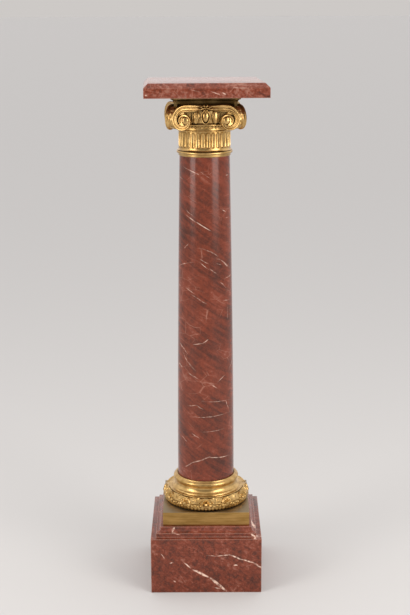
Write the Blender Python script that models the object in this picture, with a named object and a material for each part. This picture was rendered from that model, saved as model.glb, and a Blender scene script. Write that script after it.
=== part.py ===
"""A pedestal column of red veined marble with a gilt bronze capital, base and plate.

The column stands on the floor at z = 0 with its axis at x = y = 0, and its front looks along -y.
"""

import math

import bmesh
import bpy
from mathutils import Matrix, Vector

# Joints between the pieces
GAP = 0.0003

# Marble plinth, one block with its moulding
PLINTH_WIDTH = 0.246
BLOCK_HEIGHT = 0.1283
LEDGE_WIDTH = 0.0115
RISER_HEIGHT = 0.0094
HOLLOW_WIDTH = 0.0098
HOLLOW_HEIGHT = 0.0077
PLINTH_RIM_HEIGHT = 0.0036

# Square bronze plate on the plinth
PLATE_WIDTH = 0.1924
PLATE_HEIGHT = 0.0312
PLATE_EDGE = 0.0006

# Turned bronze base with its leafy torus
FOOT_DIAMETER = 0.1890
FOOT_HEIGHT = 0.0287
FOOT_BULGE = 0.0110
FOOT_MOTIFS = 12
FOOT_RELIEF = 0.0032

# Forms on the leafy torus, in shares of a bay's width and of the torus's height
FLOWER_HALF_WIDTH = 0.19
FLOWER_MIDDLE = 0.46
FLOWER_HALF_HEIGHT = 0.24
BUD_HALF_WIDTH = 0.11
BUD_MIDDLE = 0.80
BUD_HALF_HEIGHT = 0.12
BUD_RISE = 0.75
RIBBON_MIDDLE = 0.28
RIBBON_HALF_HEIGHT = 0.13
RIBBON_RISE = 0.40

# The base above the torus: slope, scotia and ring
SHOULDER_OUT = 0.0010
SLOPE_WIDTH = 0.0082
SLOPE_HEIGHT = 0.0040
SCOTIA_HEIGHT = 0.0145
SCOTIA_SHARE = 0.8
WAIST_DIAMETER = 0.1366
RING_DIAMETER = 0.1471
RING_HEIGHT = 0.0141
RING_SHARE = 0.75
SOCKET_DEPTH = 0.0180

# Marble shaft, which tapers in a slow curve that starts just over the base
SHAFT_FOOT_DIAMETER = 0.1268
SHAFT_HEAD_DIAMETER = 0.1078
SHAFT_LENGTH = 0.7467
STRAIGHT_LENGTH = 0.0300
SHAFT_CURVE = 1.5
SHAFT_CLEARANCE = 0.0003

# Capital: collar that laps over the shaft's head
LAP = 0.0070
LIP_WALL = 0.0016
LIP_HEIGHT = 0.0046
COLLAR_DIAMETER = 0.1204
COLLAR_HEIGHT = 0.0070
FLARE_HEIGHT = 0.0066
FLARE_WIDTH = 0.0026

# Capital: fluted neck, and the rings above it
NECK_DIAMETER = 0.1110
FLUTES = 32
FLUTE_DEPTH = 0.0023
FLUTE_SHARE = 0.80
FLUTE_LENGTH = 0.0330
NECK_BAND_HEIGHT = 0.0044
NECK_BAND_PROUD = 0.0008
NECK_HOLLOW_HEIGHT = 0.0046
BEAD_RING_DIAMETER = 0.1136
BEAD_RING_HEIGHT = 0.0040
ASTRAGAL_DIAMETER = 0.1171
ASTRAGAL_HEIGHT = 0.0060

# Capital: rounded echinus with its eggs and darts
ECHINUS_DIAMETER = 0.1240
ECHINUS_HEIGHT = 0.0268
EGGS = 12
EGG_HEIGHT = 0.0225
EGG_WIDTH = 0.0139
EGG_PROUD = 0.0079
SHELL_WIDTH = 0.0222
SHELL_HEIGHT = 0.0268
SHELL_PROUD = 0.0048
DART_WIDTH = 0.0043
DART_PROUD = 0.0051
DART_LIFT = 0.0005

# Capital: four corner volutes, joined by a sagging channel on each side
EYE_REACH = 0.0475
EYE_BELOW_ABACUS = 0.0320
EYE_DIAMETER = 0.0128
VOLUTE_RISE = 0.0318
QUARTER_RATIO = 0.80
VOLUTE_TURNS = 1.55
BAND_SHARE = 0.80
VOLUTE_RELIEF = 0.0034
FACE_TURN = math.radians(23.2)
CHANNEL_REACH = 0.0620
CHANNEL_HEIGHT = 0.0116
CHANNEL_SAG = 0.0020
CHANNEL_OVERLAP = 0.0020
CHANNEL_SINK = 0.0006
FLEURON_DIAMETER = 0.0176
FLEURON_PROUD = 0.0046
FLEURON_PETALS = 6
PETAL_NOTCH = 0.55

# Capital: abacus with hollow sides and cut corners
ABACUS_HEIGHT = 0.0167
ABACUS_FILLET = 0.0058
ABACUS_REACH = 0.0730
ABACUS_CUT = 0.0063
ABACUS_MIDDLE = 0.0615
ABACUS_STEP = 0.0070
ABACUS_ROOT = 0.0040
ABACUS_ARRIS = 0.0002

# Marble slab
SLAB_WIDTH = 0.2575
SLAB_THICKNESS = 0.030
SLAB_CHAMFER = 0.0094

# The slab and the capital stand turned a little on the shaft
HEAD_TURN = math.radians(2.4)

ROUND_STEPS = 36
POINTS_PER_FLUTE = 3
POINTS_PER_MOTIF = 6
POINTS_PER_PETAL = 3

# Heights of the pieces, worked out from the floor up
PLINTH_TOP = BLOCK_HEIGHT + RISER_HEIGHT + HOLLOW_HEIGHT + PLINTH_RIM_HEIGHT
PLATE_BOTTOM = PLINTH_TOP + GAP
BASE_BOTTOM = PLATE_BOTTOM + PLATE_HEIGHT + GAP
BASE_TOP = BASE_BOTTOM + FOOT_HEIGHT + SLOPE_HEIGHT + SCOTIA_HEIGHT + RING_HEIGHT
SHAFT_BOTTOM = BASE_TOP - SOCKET_DEPTH + GAP
SHAFT_TOP = SHAFT_BOTTOM + SHAFT_LENGTH
CAPITAL_SEAT = SHAFT_TOP + GAP
CAPITAL_BOTTOM = CAPITAL_SEAT - LAP
COLLAR_BOTTOM = CAPITAL_BOTTOM + LIP_HEIGHT
FLUTE_BOTTOM = COLLAR_BOTTOM + COLLAR_HEIGHT + FLARE_HEIGHT
FLUTE_TOP = FLUTE_BOTTOM + FLUTE_LENGTH
BEAD_BOTTOM = FLUTE_TOP + NECK_BAND_HEIGHT + NECK_HOLLOW_HEIGHT
ECHINUS_BOTTOM = BEAD_BOTTOM + BEAD_RING_HEIGHT + ASTRAGAL_HEIGHT
ECHINUS_TOP = ECHINUS_BOTTOM + ECHINUS_HEIGHT
CHANNEL_TOP = ECHINUS_TOP + CHANNEL_HEIGHT
ABACUS_BOTTOM = CHANNEL_TOP + CHANNEL_SAG
EYE_HEIGHT = ABACUS_BOTTOM - EYE_BELOW_ABACUS
ABACUS_TOP = ABACUS_BOTTOM + ABACUS_HEIGHT
SLAB_BOTTOM = ABACUS_TOP + GAP

MARBLE = ((0.165, 0.055, 0.037, 1.0), 0.22, 0.0)
GILT_BRONZE = ((0.480, 0.270, 0.090, 1.0), 0.28, 1.0)
BRUSHED_BRONZE = ((0.300, 0.175, 0.050, 1.0), 0.42, 1.0)


def clear_scene():
    for obj in list(bpy.data.objects):
        bpy.data.objects.remove(obj, do_unlink=True)


def material(name, finish):
    colour, roughness, metallic = finish
    made = bpy.data.materials.new(name)
    made.use_nodes = True
    shader = made.node_tree.nodes["Principled BSDF"]
    shader.inputs["Base Color"].default_value = colour
    shader.inputs["Roughness"].default_value = roughness
    shader.inputs["Metallic"].default_value = metallic
    made.diffuse_color = colour
    return made


def object_from(bm, name):
    """Closes the bmesh off as an object whose faces point outwards."""
    bmesh.ops.recalc_face_normals(bm, faces=bm.faces[:])
    mesh = bpy.data.meshes.new(name)
    bm.to_mesh(mesh)
    bm.free()
    obj = bpy.data.objects.new(name, mesh)
    bpy.context.scene.collection.objects.link(obj)
    return obj


def finish_piece(obj, finish, smooth_below=35.0):
    obj.data.materials.clear()
    obj.data.materials.append(material(obj.name, finish))
    obj.data.shade_smooth()
    obj.data.set_sharp_from_angle(angle=math.radians(smooth_below))


def arc(centre, radii, start, end, steps):
    """Points (radius, height) on an ellipse's arc, from start to end in degrees."""
    points = []
    for i in range(steps + 1):
        angle = math.radians(start + (end - start) * i / steps)
        points.append((centre[0] + radii[0] * math.cos(angle), centre[1] + radii[1] * math.sin(angle)))
    return points


def spun(profile, steps):
    """A bmesh turned from a profile whose two ends lie on the axis."""
    bm = bmesh.new()
    verts = [bm.verts.new((radius, 0, height)) for radius, height in profile]
    edges = [bm.edges.new(pair) for pair in zip(verts, verts[1:])]
    bmesh.ops.spin(
        bm, geom=verts + edges, cent=(0, 0, 0), axis=(0, 0, 1), angle=math.tau, steps=steps, use_merge=True
    )
    bmesh.ops.remove_doubles(bm, verts=bm.verts[:], dist=1e-6)
    return bm


def turn_form(bm, angle):
    """Turns a form about the column's axis."""
    bmesh.ops.rotate(bm, verts=bm.verts[:], cent=(0, 0, 0), matrix=Matrix.Rotation(angle, 3, "Z"))


def square_stack(name, profile):
    """A square piece whose half width follows a profile of (half width, height) from foot to top."""
    corner = math.sqrt(2)
    edge = [(half * corner, height) for half, height in profile]
    bm = spun([(0, profile[0][1])] + edge + [(0, profile[-1][1])], 4)
    turn_form(bm, math.pi / 4)
    bmesh.ops.dissolve_limit(bm, angle_limit=0.001, verts=bm.verts[:], edges=bm.edges[:])
    return object_from(bm, name)


def fuse(obj, tools):
    """Joins the tools to the object and leaves one mesh.

    The exact solver leaves open edges where the spirals run into their eyes, so the manifold one is used.
    """
    for tool in tools:
        union = obj.modifiers.new(tool.name, "BOOLEAN")
        union.operation = "UNION"
        union.solver = "MANIFOLD"
        union.object = tool
    bpy.context.view_layer.update()
    graph = bpy.context.evaluated_depsgraph_get()
    mesh = bpy.data.meshes.new_from_object(obj.evaluated_get(graph))
    obj.modifiers.clear()
    obj.data = mesh
    for tool in tools:
        bpy.data.objects.remove(tool, do_unlink=True)
    return obj


def turn_head(obj):
    obj.data.transform(Matrix.Rotation(HEAD_TURN, 4, "Z"))


def make_plinth():
    half = PLINTH_WIDTH / 2
    riser = half - LEDGE_WIDTH
    rim = riser - HOLLOW_WIDTH
    riser_top = BLOCK_HEIGHT + RISER_HEIGHT
    hollow = arc((riser, riser_top + HOLLOW_HEIGHT), (HOLLOW_WIDTH, HOLLOW_HEIGHT), 270, 180, 5)
    profile = [(half, 0), (half, BLOCK_HEIGHT), (riser, BLOCK_HEIGHT)] + hollow + [(rim, PLINTH_TOP)]
    finish_piece(square_stack("plinth", profile), MARBLE)


def make_plate():
    half = PLATE_WIDTH / 2
    top = PLATE_BOTTOM + PLATE_HEIGHT
    profile = [(half, PLATE_BOTTOM), (half, top - PLATE_EDGE), (half - PLATE_EDGE, top)]
    finish_piece(square_stack("base_plate", profile), BRUSHED_BRONZE)


def mound(distance, half):
    """1 at the middle of a rounded form, falling off to nothing on both sides."""
    return math.exp(-((distance / half) ** 2))


def foot_relief(angle, rise):
    """How far the leafy torus stands out: flowers joined by a ribbon, and a bud between two flowers.

    rise goes from 0 at the torus's foot to 1 at its top.
    """
    bay = (angle * FOOT_MOTIFS / math.tau + 0.5) % 1 - 0.5
    flower = mound(bay, FLOWER_HALF_WIDTH) * mound(rise - FLOWER_MIDDLE, FLOWER_HALF_HEIGHT)
    bud = BUD_RISE * mound(abs(bay) - 0.5, BUD_HALF_WIDTH) * mound(rise - BUD_MIDDLE, BUD_HALF_HEIGHT)
    ribbon = RIBBON_RISE * mound(rise - RIBBON_MIDDLE, RIBBON_HALF_HEIGHT)
    return FOOT_RELIEF * max(flower, bud, ribbon)


def leafy_torus(centre):
    """The bottom torus of the base, with its ring of flowers and buds."""
    outer = arc(centre, (FOOT_BULGE, FOOT_HEIGHT / 2), -90, 90, 7)
    inner = centre[0] - FOOT_BULGE
    bottom = centre[1] - FOOT_HEIGHT / 2
    top = centre[1] + FOOT_HEIGHT / 2
    bm = spun([(0, bottom)] + outer + [(inner, top), (0, top)], FOOT_MOTIFS * POINTS_PER_MOTIF)
    for vert in bm.verts:
        radius = math.hypot(vert.co.x, vert.co.y)
        if radius > centre[0] + FOOT_BULGE * 0.1:
            rise = (vert.co.z - bottom) / FOOT_HEIGHT
            angle = math.atan2(vert.co.x, -vert.co.y)
            grown = (radius + foot_relief(angle, rise)) / radius
            vert.co.x *= grown
            vert.co.y *= grown
    return object_from(bm, "leafy_torus")


def make_base():
    """The base: the leafy torus below, a slope, a scotia, and the ring that the shaft stands in."""
    centre = (FOOT_DIAMETER / 2 - FOOT_BULGE, BASE_BOTTOM + FOOT_HEIGHT / 2)
    slope_foot = BASE_BOTTOM + FOOT_HEIGHT
    slope_top = slope_foot + SLOPE_HEIGHT
    shoulder = centre[0] + SHOULDER_OUT
    scotia_lip = shoulder - SLOPE_WIDTH
    waist = WAIST_DIAMETER / 2
    ring = RING_DIAMETER / 2
    ring_bottom = slope_top + SCOTIA_HEIGHT
    ring_radius = RING_HEIGHT / 2
    bore = SHAFT_FOOT_DIAMETER / 2 + SHAFT_CLEARANCE
    slope = [(shoulder, slope_foot + SLOPE_HEIGHT * 0.15), (scotia_lip, slope_top)]
    scotia = arc((scotia_lip, ring_bottom), (scotia_lip - waist, SCOTIA_HEIGHT * SCOTIA_SHARE), 262, 190, 3)
    ring_bulge = ring_radius * RING_SHARE
    upper = arc((ring - ring_bulge, ring_bottom + ring_radius), (ring_bulge, ring_radius), -80, 80, 4)
    socket = [(bore, BASE_TOP), (bore, BASE_TOP - SOCKET_DEPTH), (0, BASE_TOP - SOCKET_DEPTH)]
    inside = centre[1]
    root = [(0, inside), (shoulder - SHOULDER_OUT, inside)]
    body = spun(root + slope + scotia + upper + socket, ROUND_STEPS)
    base = fuse(object_from(body, "base"), [leafy_torus(centre)])
    finish_piece(base, GILT_BRONZE)


def shaft_radius(along):
    """The shaft's radius at a height above its foot."""
    foot = SHAFT_FOOT_DIAMETER / 2
    head = SHAFT_HEAD_DIAMETER / 2
    taper = max(0.0, along - STRAIGHT_LENGTH) / (SHAFT_LENGTH - STRAIGHT_LENGTH)
    return foot - (foot - head) * taper**SHAFT_CURVE


def make_shaft():
    rings = 6
    tapered = SHAFT_LENGTH - STRAIGHT_LENGTH
    levels = [0.0] + [STRAIGHT_LENGTH + tapered * i / rings for i in range(rings + 1)]
    side = [(shaft_radius(level), SHAFT_BOTTOM + level) for level in levels]
    bm = spun([(0, SHAFT_BOTTOM)] + side + [(0, SHAFT_TOP)], ROUND_STEPS)
    finish_piece(object_from(bm, "shaft"), MARBLE)


def capital_core():
    """Everything in the capital that is turned: collar, neck, rings and echinus."""
    bore = SHAFT_HEAD_DIAMETER / 2 + SHAFT_CLEARANCE
    lip = bore + LIP_WALL
    neck = NECK_DIAMETER / 2
    collar = COLLAR_DIAMETER / 2
    collar_middle = COLLAR_BOTTOM + COLLAR_HEIGHT / 2
    flare_bottom = COLLAR_BOTTOM + COLLAR_HEIGHT
    core = neck - FLUTE_DEPTH * 1.5
    band = neck + NECK_BAND_PROUD
    band_top = FLUTE_TOP + NECK_BAND_HEIGHT
    bead = BEAD_RING_DIAMETER / 2
    astragal = ASTRAGAL_DIAMETER / 2
    astragal_bottom = BEAD_BOTTOM + BEAD_RING_HEIGHT
    echinus = ECHINUS_DIAMETER / 2
    echinus_foot = neck + NECK_BAND_PROUD
    profile = [(0, CAPITAL_SEAT), (bore, CAPITAL_SEAT), (bore, CAPITAL_BOTTOM), (lip, CAPITAL_BOTTOM)]
    profile += arc((lip, collar_middle), (collar - lip, COLLAR_HEIGHT / 2), -90, 60, 3)
    profile += arc((neck + FLARE_WIDTH, FLUTE_BOTTOM), (FLARE_WIDTH, FLARE_HEIGHT * 0.9), 270, 190, 2)
    profile += [(core, FLUTE_BOTTOM + FLUTE_DEPTH), (core, FLUTE_TOP - FLUTE_DEPTH)]
    profile += [(band, FLUTE_TOP), (band, band_top), (neck, band_top + NECK_HOLLOW_HEIGHT * 0.4)]
    profile += [(neck, BEAD_BOTTOM), (bead, BEAD_BOTTOM + BEAD_RING_HEIGHT * 0.3)]
    profile += [(bead, astragal_bottom - BEAD_RING_HEIGHT * 0.3)]
    astragal_radii = (astragal - neck, ASTRAGAL_HEIGHT / 2)
    profile += arc((neck, astragal_bottom + ASTRAGAL_HEIGHT / 2), astragal_radii, -75, 75, 3)
    profile += arc((echinus_foot, ECHINUS_TOP), (echinus - echinus_foot, ECHINUS_HEIGHT * 0.97), -85, 0, 3)
    profile += [(0, ECHINUS_TOP)]
    return object_from(spun(profile, ROUND_STEPS), "capital")


def fluted_drum():
    """The neck with its flutes, each with rounded ends and a flat fillet to the next."""
    neck = NECK_DIAMETER / 2
    inner = neck - FLUTE_DEPTH * 3
    overlap = FLUTE_DEPTH * 0.4
    side = [(neck, FLUTE_BOTTOM - overlap), (neck, FLUTE_BOTTOM + FLUTE_DEPTH)]
    side += [(neck, FLUTE_TOP - FLUTE_DEPTH), (neck, FLUTE_TOP + overlap)]
    bm = spun([(0, FLUTE_BOTTOM - overlap)] + side + [(0, FLUTE_TOP + overlap)], FLUTES * POINTS_PER_FLUTE)
    pitch = math.tau / FLUTES
    for vert in bm.verts:
        radius = math.hypot(vert.co.x, vert.co.y)
        grooved = FLUTE_BOTTOM < vert.co.z < FLUTE_TOP
        if radius < inner or not grooved:
            continue
        angle = math.atan2(vert.co.y, vert.co.x)
        middle = round(angle / pitch) * pitch
        hand = round((angle - middle) / pitch * POINTS_PER_FLUTE)
        angle = middle + hand * FLUTE_SHARE / 2 * pitch
        radius = neck if hand else neck - FLUTE_DEPTH
        vert.co.x = radius * math.cos(angle)
        vert.co.y = radius * math.sin(angle)
    return object_from(bm, "neck")


def face_reach(across):
    """How far in front of the axis the channel and the volutes stand, at a place across the side."""
    slope = math.tan(FACE_TURN)
    bend = VOLUTE_BEND
    if abs(across) > bend:
        return CHANNEL_REACH + slope * bend / 2 + slope * (abs(across) - bend)
    return CHANNEL_REACH + slope * across * across / (2 * bend)


# The channel's curve ends, and the volute's flat face begins, where the innermost outer turn does
VOLUTE_BEND = EYE_REACH - VOLUTE_RISE * QUARTER_RATIO**3 * math.cos(FACE_TURN)


def volute_radius(turns):
    return VOLUTE_RISE * QUARTER_RATIO ** (4 * turns)


def volute_point(turns, radius):
    """(across, height) of a point of the right-hand volute, turns after the top and away from the middle."""
    angle = math.tau * turns
    return EYE_REACH + radius * math.sin(angle) * math.cos(FACE_TURN), EYE_HEIGHT + radius * math.cos(angle)


# The spiral is level where it leaves the channel, a little before its top
LEVEL_TURN = math.atan(math.log(QUARTER_RATIO) / (math.pi / 2)) / math.tau


def turns_of_volute():
    """Turns from the channel to the eye, closer together on the wide outer turn."""
    turns = []
    turn = LEVEL_TURN
    while turn < VOLUTE_TURNS:
        turns.append(turn)
        turn += 1 / 13 if turn < 1 else 1 / 8
    return turns + [VOLUTE_TURNS]


def band_stations():
    """(outer edge, inner edge) of the moulded band, from the left eye across the channel to the right eye."""
    share = BAND_SHARE * (1 - QUARTER_RATIO**4)
    right = []
    for turn in turns_of_volute():
        radius = volute_radius(turn)
        right.append((volute_point(turn, radius), volute_point(turn, radius * (1 - share))))
    start = right[0]
    middle_top = CHANNEL_TOP
    channel = []
    for part in (0.0, 0.4, 0.75):
        across = start[0][0] * part
        ease = part * part * (3 - 2 * part)
        top = middle_top + (start[0][1] - middle_top) * ease
        low = middle_top - CHANNEL_HEIGHT + (start[1][1] - middle_top + CHANNEL_HEIGHT) * ease
        channel.append(((across, top), (across, low)))
    right = channel + right
    left = [((-outer[0], outer[1]), (-inner[0], inner[1])) for outer, inner in right[:0:-1]]
    return left + right


def on_face(across, height, depth):
    """A point of the front side, depth metres behind its face, measured square to the face."""
    turned = math.atan(math.tan(FACE_TURN) * max(-1.0, min(1.0, across / VOLUTE_BEND)))
    reach = face_reach(across)
    return Vector((across - depth * math.sin(turned), -reach + depth * math.cos(turned), height))


def side_band(side):
    """One side's moulded band, swept from eye to eye: two rounded ribs with a groove between them."""
    relief = VOLUTE_RELIEF
    section = ((0.0, 1.6), (0.0, 0.5), (0.22, 0.0), (0.46, 0.7), (0.72, 0.1), (1.0, 1.6))
    bm = bmesh.new()
    loops = []
    for outer, inner in band_stations():
        loop = []
        for share, depth in section:
            across = outer[0] + (inner[0] - outer[0]) * share
            height = outer[1] + (inner[1] - outer[1]) * share
            loop.append(bm.verts.new(on_face(across, height, depth * relief)))
        loops.append(loop)
    for first, second in zip(loops, loops[1:]):
        for i in range(len(section)):
            j = (i + 1) % len(section)
            bm.faces.new((first[i], first[j], second[j], second[i]))
    bm.faces.new(loops[0])
    bm.faces.new(loops[-1][::-1])
    turn_form(bm, side * math.pi / 2)
    return object_from(bm, f"band_{side}")


def corner_scroll(corner):
    """The body of a corner volute, between its two faces, with the spiral's outer turn as its outline."""
    outline = []
    turn = LEVEL_TURN
    last = 1 + LEVEL_TURN
    while turn < last:
        outline.append(volute_point(turn, volute_radius(turn) - VOLUTE_RELIEF * 0.25))
        turn += 1 / 13
    bm = bmesh.new()
    depth = VOLUTE_RELIEF * 1.05
    front = [bm.verts.new(on_face(across, height, depth)) for across, height in outline]
    side = [bm.verts.new((-vert.co.y, -vert.co.x, vert.co.z)) for vert in front]
    bm.faces.new(front)
    bm.faces.new(side[::-1])
    for i in range(len(front)):
        j = (i + 1) % len(front)
        bm.faces.new((front[i], side[i], side[j], front[j]))
    turn_form(bm, corner * math.pi / 2)
    return object_from(bm, f"scroll_{corner}")


def eye_boss(side, hand):
    """The round eye of one spiral."""
    radius = EYE_DIAMETER / 2
    bm = bmesh.new()
    bmesh.ops.create_uvsphere(bm, u_segments=8, v_segments=4, radius=radius)
    bmesh.ops.scale(bm, vec=(1, 1, 0.8), verts=bm.verts[:])
    bmesh.ops.rotate(bm, verts=bm.verts[:], cent=(0, 0, 0), matrix=Matrix.Rotation(math.pi / 2, 3, "X"))
    turn_form(bm, hand * FACE_TURN)
    bmesh.ops.translate(bm, verts=bm.verts[:], vec=on_face(hand * EYE_REACH, EYE_HEIGHT, radius * 0.8))
    turn_form(bm, side * math.pi / 2)
    return object_from(bm, f"eye_{side}_{hand}")


def hollow_square(name, levels):
    """A prism with four hollow sides and cut corners, through levels of (middle, reach, cut, height)."""
    steps = 6
    bm = bmesh.new()
    loops = []
    for middle, reach, cut, height in levels:
        loop = []
        end = reach - cut
        for side in range(4):
            turned = Matrix.Rotation(side * math.pi / 2, 3, "Z")
            for i in range(steps + 1):
                across = end * (2 * i / steps - 1)
                out = middle + (reach - middle) * (across / end) ** 2
                loop.append(bm.verts.new(turned @ Vector((across, -out, height))))
        loops.append(loop)
    for first, second in zip(loops, loops[1:]):
        for i in range(len(first)):
            j = (i + 1) % len(first)
            bm.faces.new((first[i], first[j], second[j], second[i]))
    bm.faces.new(loops[0][::-1])
    bm.faces.new(loops[-1])
    return object_from(bm, name)


def channel_body():
    """The block behind the four channels, which carries the corner scrolls."""
    depth = VOLUTE_RELIEF * 1.05
    reach = face_reach(EYE_REACH) - depth
    return hollow_square(
        "channel",
        [
            (CHANNEL_REACH - depth, reach, reach - EYE_REACH, ECHINUS_TOP - CHANNEL_OVERLAP),
            (CHANNEL_REACH - depth, reach, reach - EYE_REACH, CHANNEL_TOP - CHANNEL_SINK),
        ],
    )


def abacus():
    """The slab of the capital: a step, a hollow that widens upwards, and a plain fillet."""
    hollow_height = ABACUS_HEIGHT - ABACUS_FILLET
    levels = []
    root = -ABACUS_ROOT / hollow_height
    for inset, rise in ((1.0, root), (1.0, 0.12), (0.80, 0.45), (0.35, 0.80), (0.12, 1.0)):
        step = ABACUS_STEP * inset
        cut = ABACUS_CUT
        levels.append((ABACUS_MIDDLE - step, ABACUS_REACH - step, cut, ABACUS_BOTTOM + hollow_height * rise))
    levels.append((ABACUS_MIDDLE, ABACUS_REACH, ABACUS_CUT, ABACUS_BOTTOM + hollow_height + ABACUS_ARRIS))
    levels.append((ABACUS_MIDDLE, ABACUS_REACH, ABACUS_CUT, ABACUS_TOP))
    return hollow_square("abacus", levels)


def echinus_radius(height):
    """The rounded echinus's radius at a height."""
    foot = NECK_DIAMETER / 2 + NECK_BAND_PROUD
    drop = min(1.0, (ECHINUS_TOP - height) / ECHINUS_HEIGHT)
    return foot + (ECHINUS_DIAMETER / 2 - foot) * math.sqrt(1 - drop * drop)


def on_echinus(bm, height, turn):
    """Stands a form on the front of the echinus at a height, and turns it to its place round the capital."""
    bmesh.ops.translate(bm, verts=bm.verts[:], vec=(0, -echinus_radius(height), height))
    turn_form(bm, turn * math.tau / EGGS)
    return bm


def egg(number, name, size):
    """An egg, or the shell round it: an ellipsoid of (width, proud, height), half sunk in the echinus."""
    width, proud, height = size
    bm = bmesh.new()
    bmesh.ops.create_uvsphere(bm, u_segments=6, v_segments=4, radius=0.5)
    bmesh.ops.scale(bm, vec=(width, proud * 2, height), verts=bm.verts[:])
    return object_from(on_echinus(bm, ECHINUS_TOP - height / 2, number), f"{name}_{number}")


def dart(number):
    """The pointed leaf between two shells."""
    bm = bmesh.new()
    bmesh.ops.create_cone(bm, cap_ends=True, segments=4, radius1=0.0, radius2=1.0, depth=EGG_HEIGHT)
    bmesh.ops.remove_doubles(bm, verts=bm.verts[:], dist=1e-6)
    bmesh.ops.scale(bm, vec=(DART_WIDTH, DART_PROUD, 1), verts=bm.verts[:])
    height = ECHINUS_TOP - EGG_HEIGHT / 2 + DART_LIFT
    return object_from(on_echinus(bm, height, number + 0.5), f"dart_{number}")


def fleuron(side):
    """The flower at the middle of a side, over the channel."""
    bm = bmesh.new()
    points = FLEURON_PETALS * POINTS_PER_PETAL
    radius = FLEURON_DIAMETER / 2
    back = FLEURON_PROUD + VOLUTE_RELIEF * 3
    rim = []
    root = []
    for i in range(points):
        angle = math.tau * i / points
        out = radius * (PETAL_NOTCH if i % POINTS_PER_PETAL == 0 else 1.0)
        rim.append(bm.verts.new((out * math.sin(angle), 0, out * math.cos(angle))))
        root.append(bm.verts.new((out * 0.8 * math.sin(angle), back, out * 0.8 * math.cos(angle))))
    crown = bm.verts.new((0, -FLEURON_PROUD * 0.7, 0))
    for i in range(points):
        j = (i + 1) % points
        bm.faces.new((rim[i], rim[j], crown))
        bm.faces.new((rim[j], rim[i], root[i], root[j]))
    bm.faces.new(root)
    height = CHANNEL_TOP - CHANNEL_HEIGHT / 2
    bmesh.ops.translate(bm, verts=bm.verts[:], vec=(0, -CHANNEL_REACH - FLEURON_PROUD * 0.3, height))
    turn_form(bm, side * math.pi / 2)
    return object_from(bm, f"fleuron_{side}")


def make_capital():
    capital = capital_core()
    tools = [fluted_drum(), channel_body(), abacus()]
    for side in range(4):
        tools += [corner_scroll(side), side_band(side), fleuron(side)]
        tools += [eye_boss(side, hand) for hand in (-1, 1)]
    for number in range(EGGS):
        tools.append(egg(number, "shell", (SHELL_WIDTH, SHELL_PROUD, SHELL_HEIGHT)))
        tools.append(egg(number, "egg", (EGG_WIDTH, EGG_PROUD, EGG_HEIGHT)))
        tools.append(dart(number))
    fuse(capital, tools)
    turn_head(capital)
    finish_piece(capital, GILT_BRONZE, smooth_below=30.0)


def make_slab():
    half = SLAB_WIDTH / 2
    top = SLAB_BOTTOM + SLAB_THICKNESS
    profile = [(half, SLAB_BOTTOM), (half, top - SLAB_CHAMFER), (half - SLAB_CHAMFER, top)]
    slab = square_stack("top_slab", profile)
    turn_head(slab)
    finish_piece(slab, MARBLE)


clear_scene()
make_plinth()
make_plate()
make_base()
make_shaft()
make_capital()
make_slab()
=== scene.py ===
# %% [markdown]
# A pedestal column of red veined marble with gilt bronze mounts.
#
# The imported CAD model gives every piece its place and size. This script dresses it: it models the
# mouldings and the carving finely, gives each surface its finish, and sets a plain studio round it.

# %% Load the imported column
import math
import random

import bmesh
import bpy
from mathutils import Matrix, Vector


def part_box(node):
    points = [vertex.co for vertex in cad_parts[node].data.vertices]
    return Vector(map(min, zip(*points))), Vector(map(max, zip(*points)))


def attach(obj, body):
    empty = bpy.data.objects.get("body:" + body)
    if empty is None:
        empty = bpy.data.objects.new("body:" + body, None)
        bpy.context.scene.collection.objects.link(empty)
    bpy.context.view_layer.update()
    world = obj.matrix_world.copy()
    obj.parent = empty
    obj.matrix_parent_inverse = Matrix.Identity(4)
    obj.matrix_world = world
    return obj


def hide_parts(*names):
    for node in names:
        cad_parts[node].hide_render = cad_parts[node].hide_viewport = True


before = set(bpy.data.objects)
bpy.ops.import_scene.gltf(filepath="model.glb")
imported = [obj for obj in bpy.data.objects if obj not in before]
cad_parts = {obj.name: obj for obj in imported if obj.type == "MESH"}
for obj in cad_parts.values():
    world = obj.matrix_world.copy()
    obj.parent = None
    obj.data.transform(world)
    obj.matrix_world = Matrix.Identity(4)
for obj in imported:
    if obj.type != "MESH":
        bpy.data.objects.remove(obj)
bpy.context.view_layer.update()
MM = 0.001
print("pieces in the frame:", ", ".join(sorted(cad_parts)))

# %% [markdown]
# Modelling goes through the same steps each time: start a shape, select some of it by its place,
# then extrude, scale or bevel what is selected. These few helpers keep those steps short.
# Mouldings are drawn up from the foot, one ring after another, as a turner or a mason reads a profile.


# %% Helpers for modelling
def deselect_all():
    for obj in list(bpy.context.selected_objects):
        obj.select_set(False)


def take_up(obj):
    """Makes this object the only one selected."""
    deselect_all()
    obj.select_set(True)
    bpy.context.view_layer.objects.active = obj


def apply_place(obj):
    """Writes the object's own place, turn and scale into its mesh."""
    take_up(obj)
    bpy.ops.object.transform_apply(location=True, rotation=True, scale=True)


def smooth(obj, below=32.0):
    """Points the faces outwards and shades smooth wherever two faces meet at a small angle."""
    take_up(obj)
    bpy.ops.object.mode_set(mode="EDIT")
    bpy.ops.mesh.select_all(action="SELECT")
    bpy.ops.mesh.normals_make_consistent(inside=False)
    bpy.ops.object.mode_set(mode="OBJECT")
    bpy.ops.object.shade_smooth_by_angle(angle=math.radians(below))
    return obj


def select_points(obj, rule):
    """In edit mode, selects the points whose place passes the rule."""
    bpy.ops.mesh.select_mode(type="VERT")
    bpy.ops.mesh.select_all(action="DESELECT")
    bm = bmesh.from_edit_mesh(obj.data)
    for vert in bm.verts:
        vert.select = rule(vert.co)
    bm.select_flush_mode()
    bmesh.update_edit_mesh(obj.data)


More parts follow.
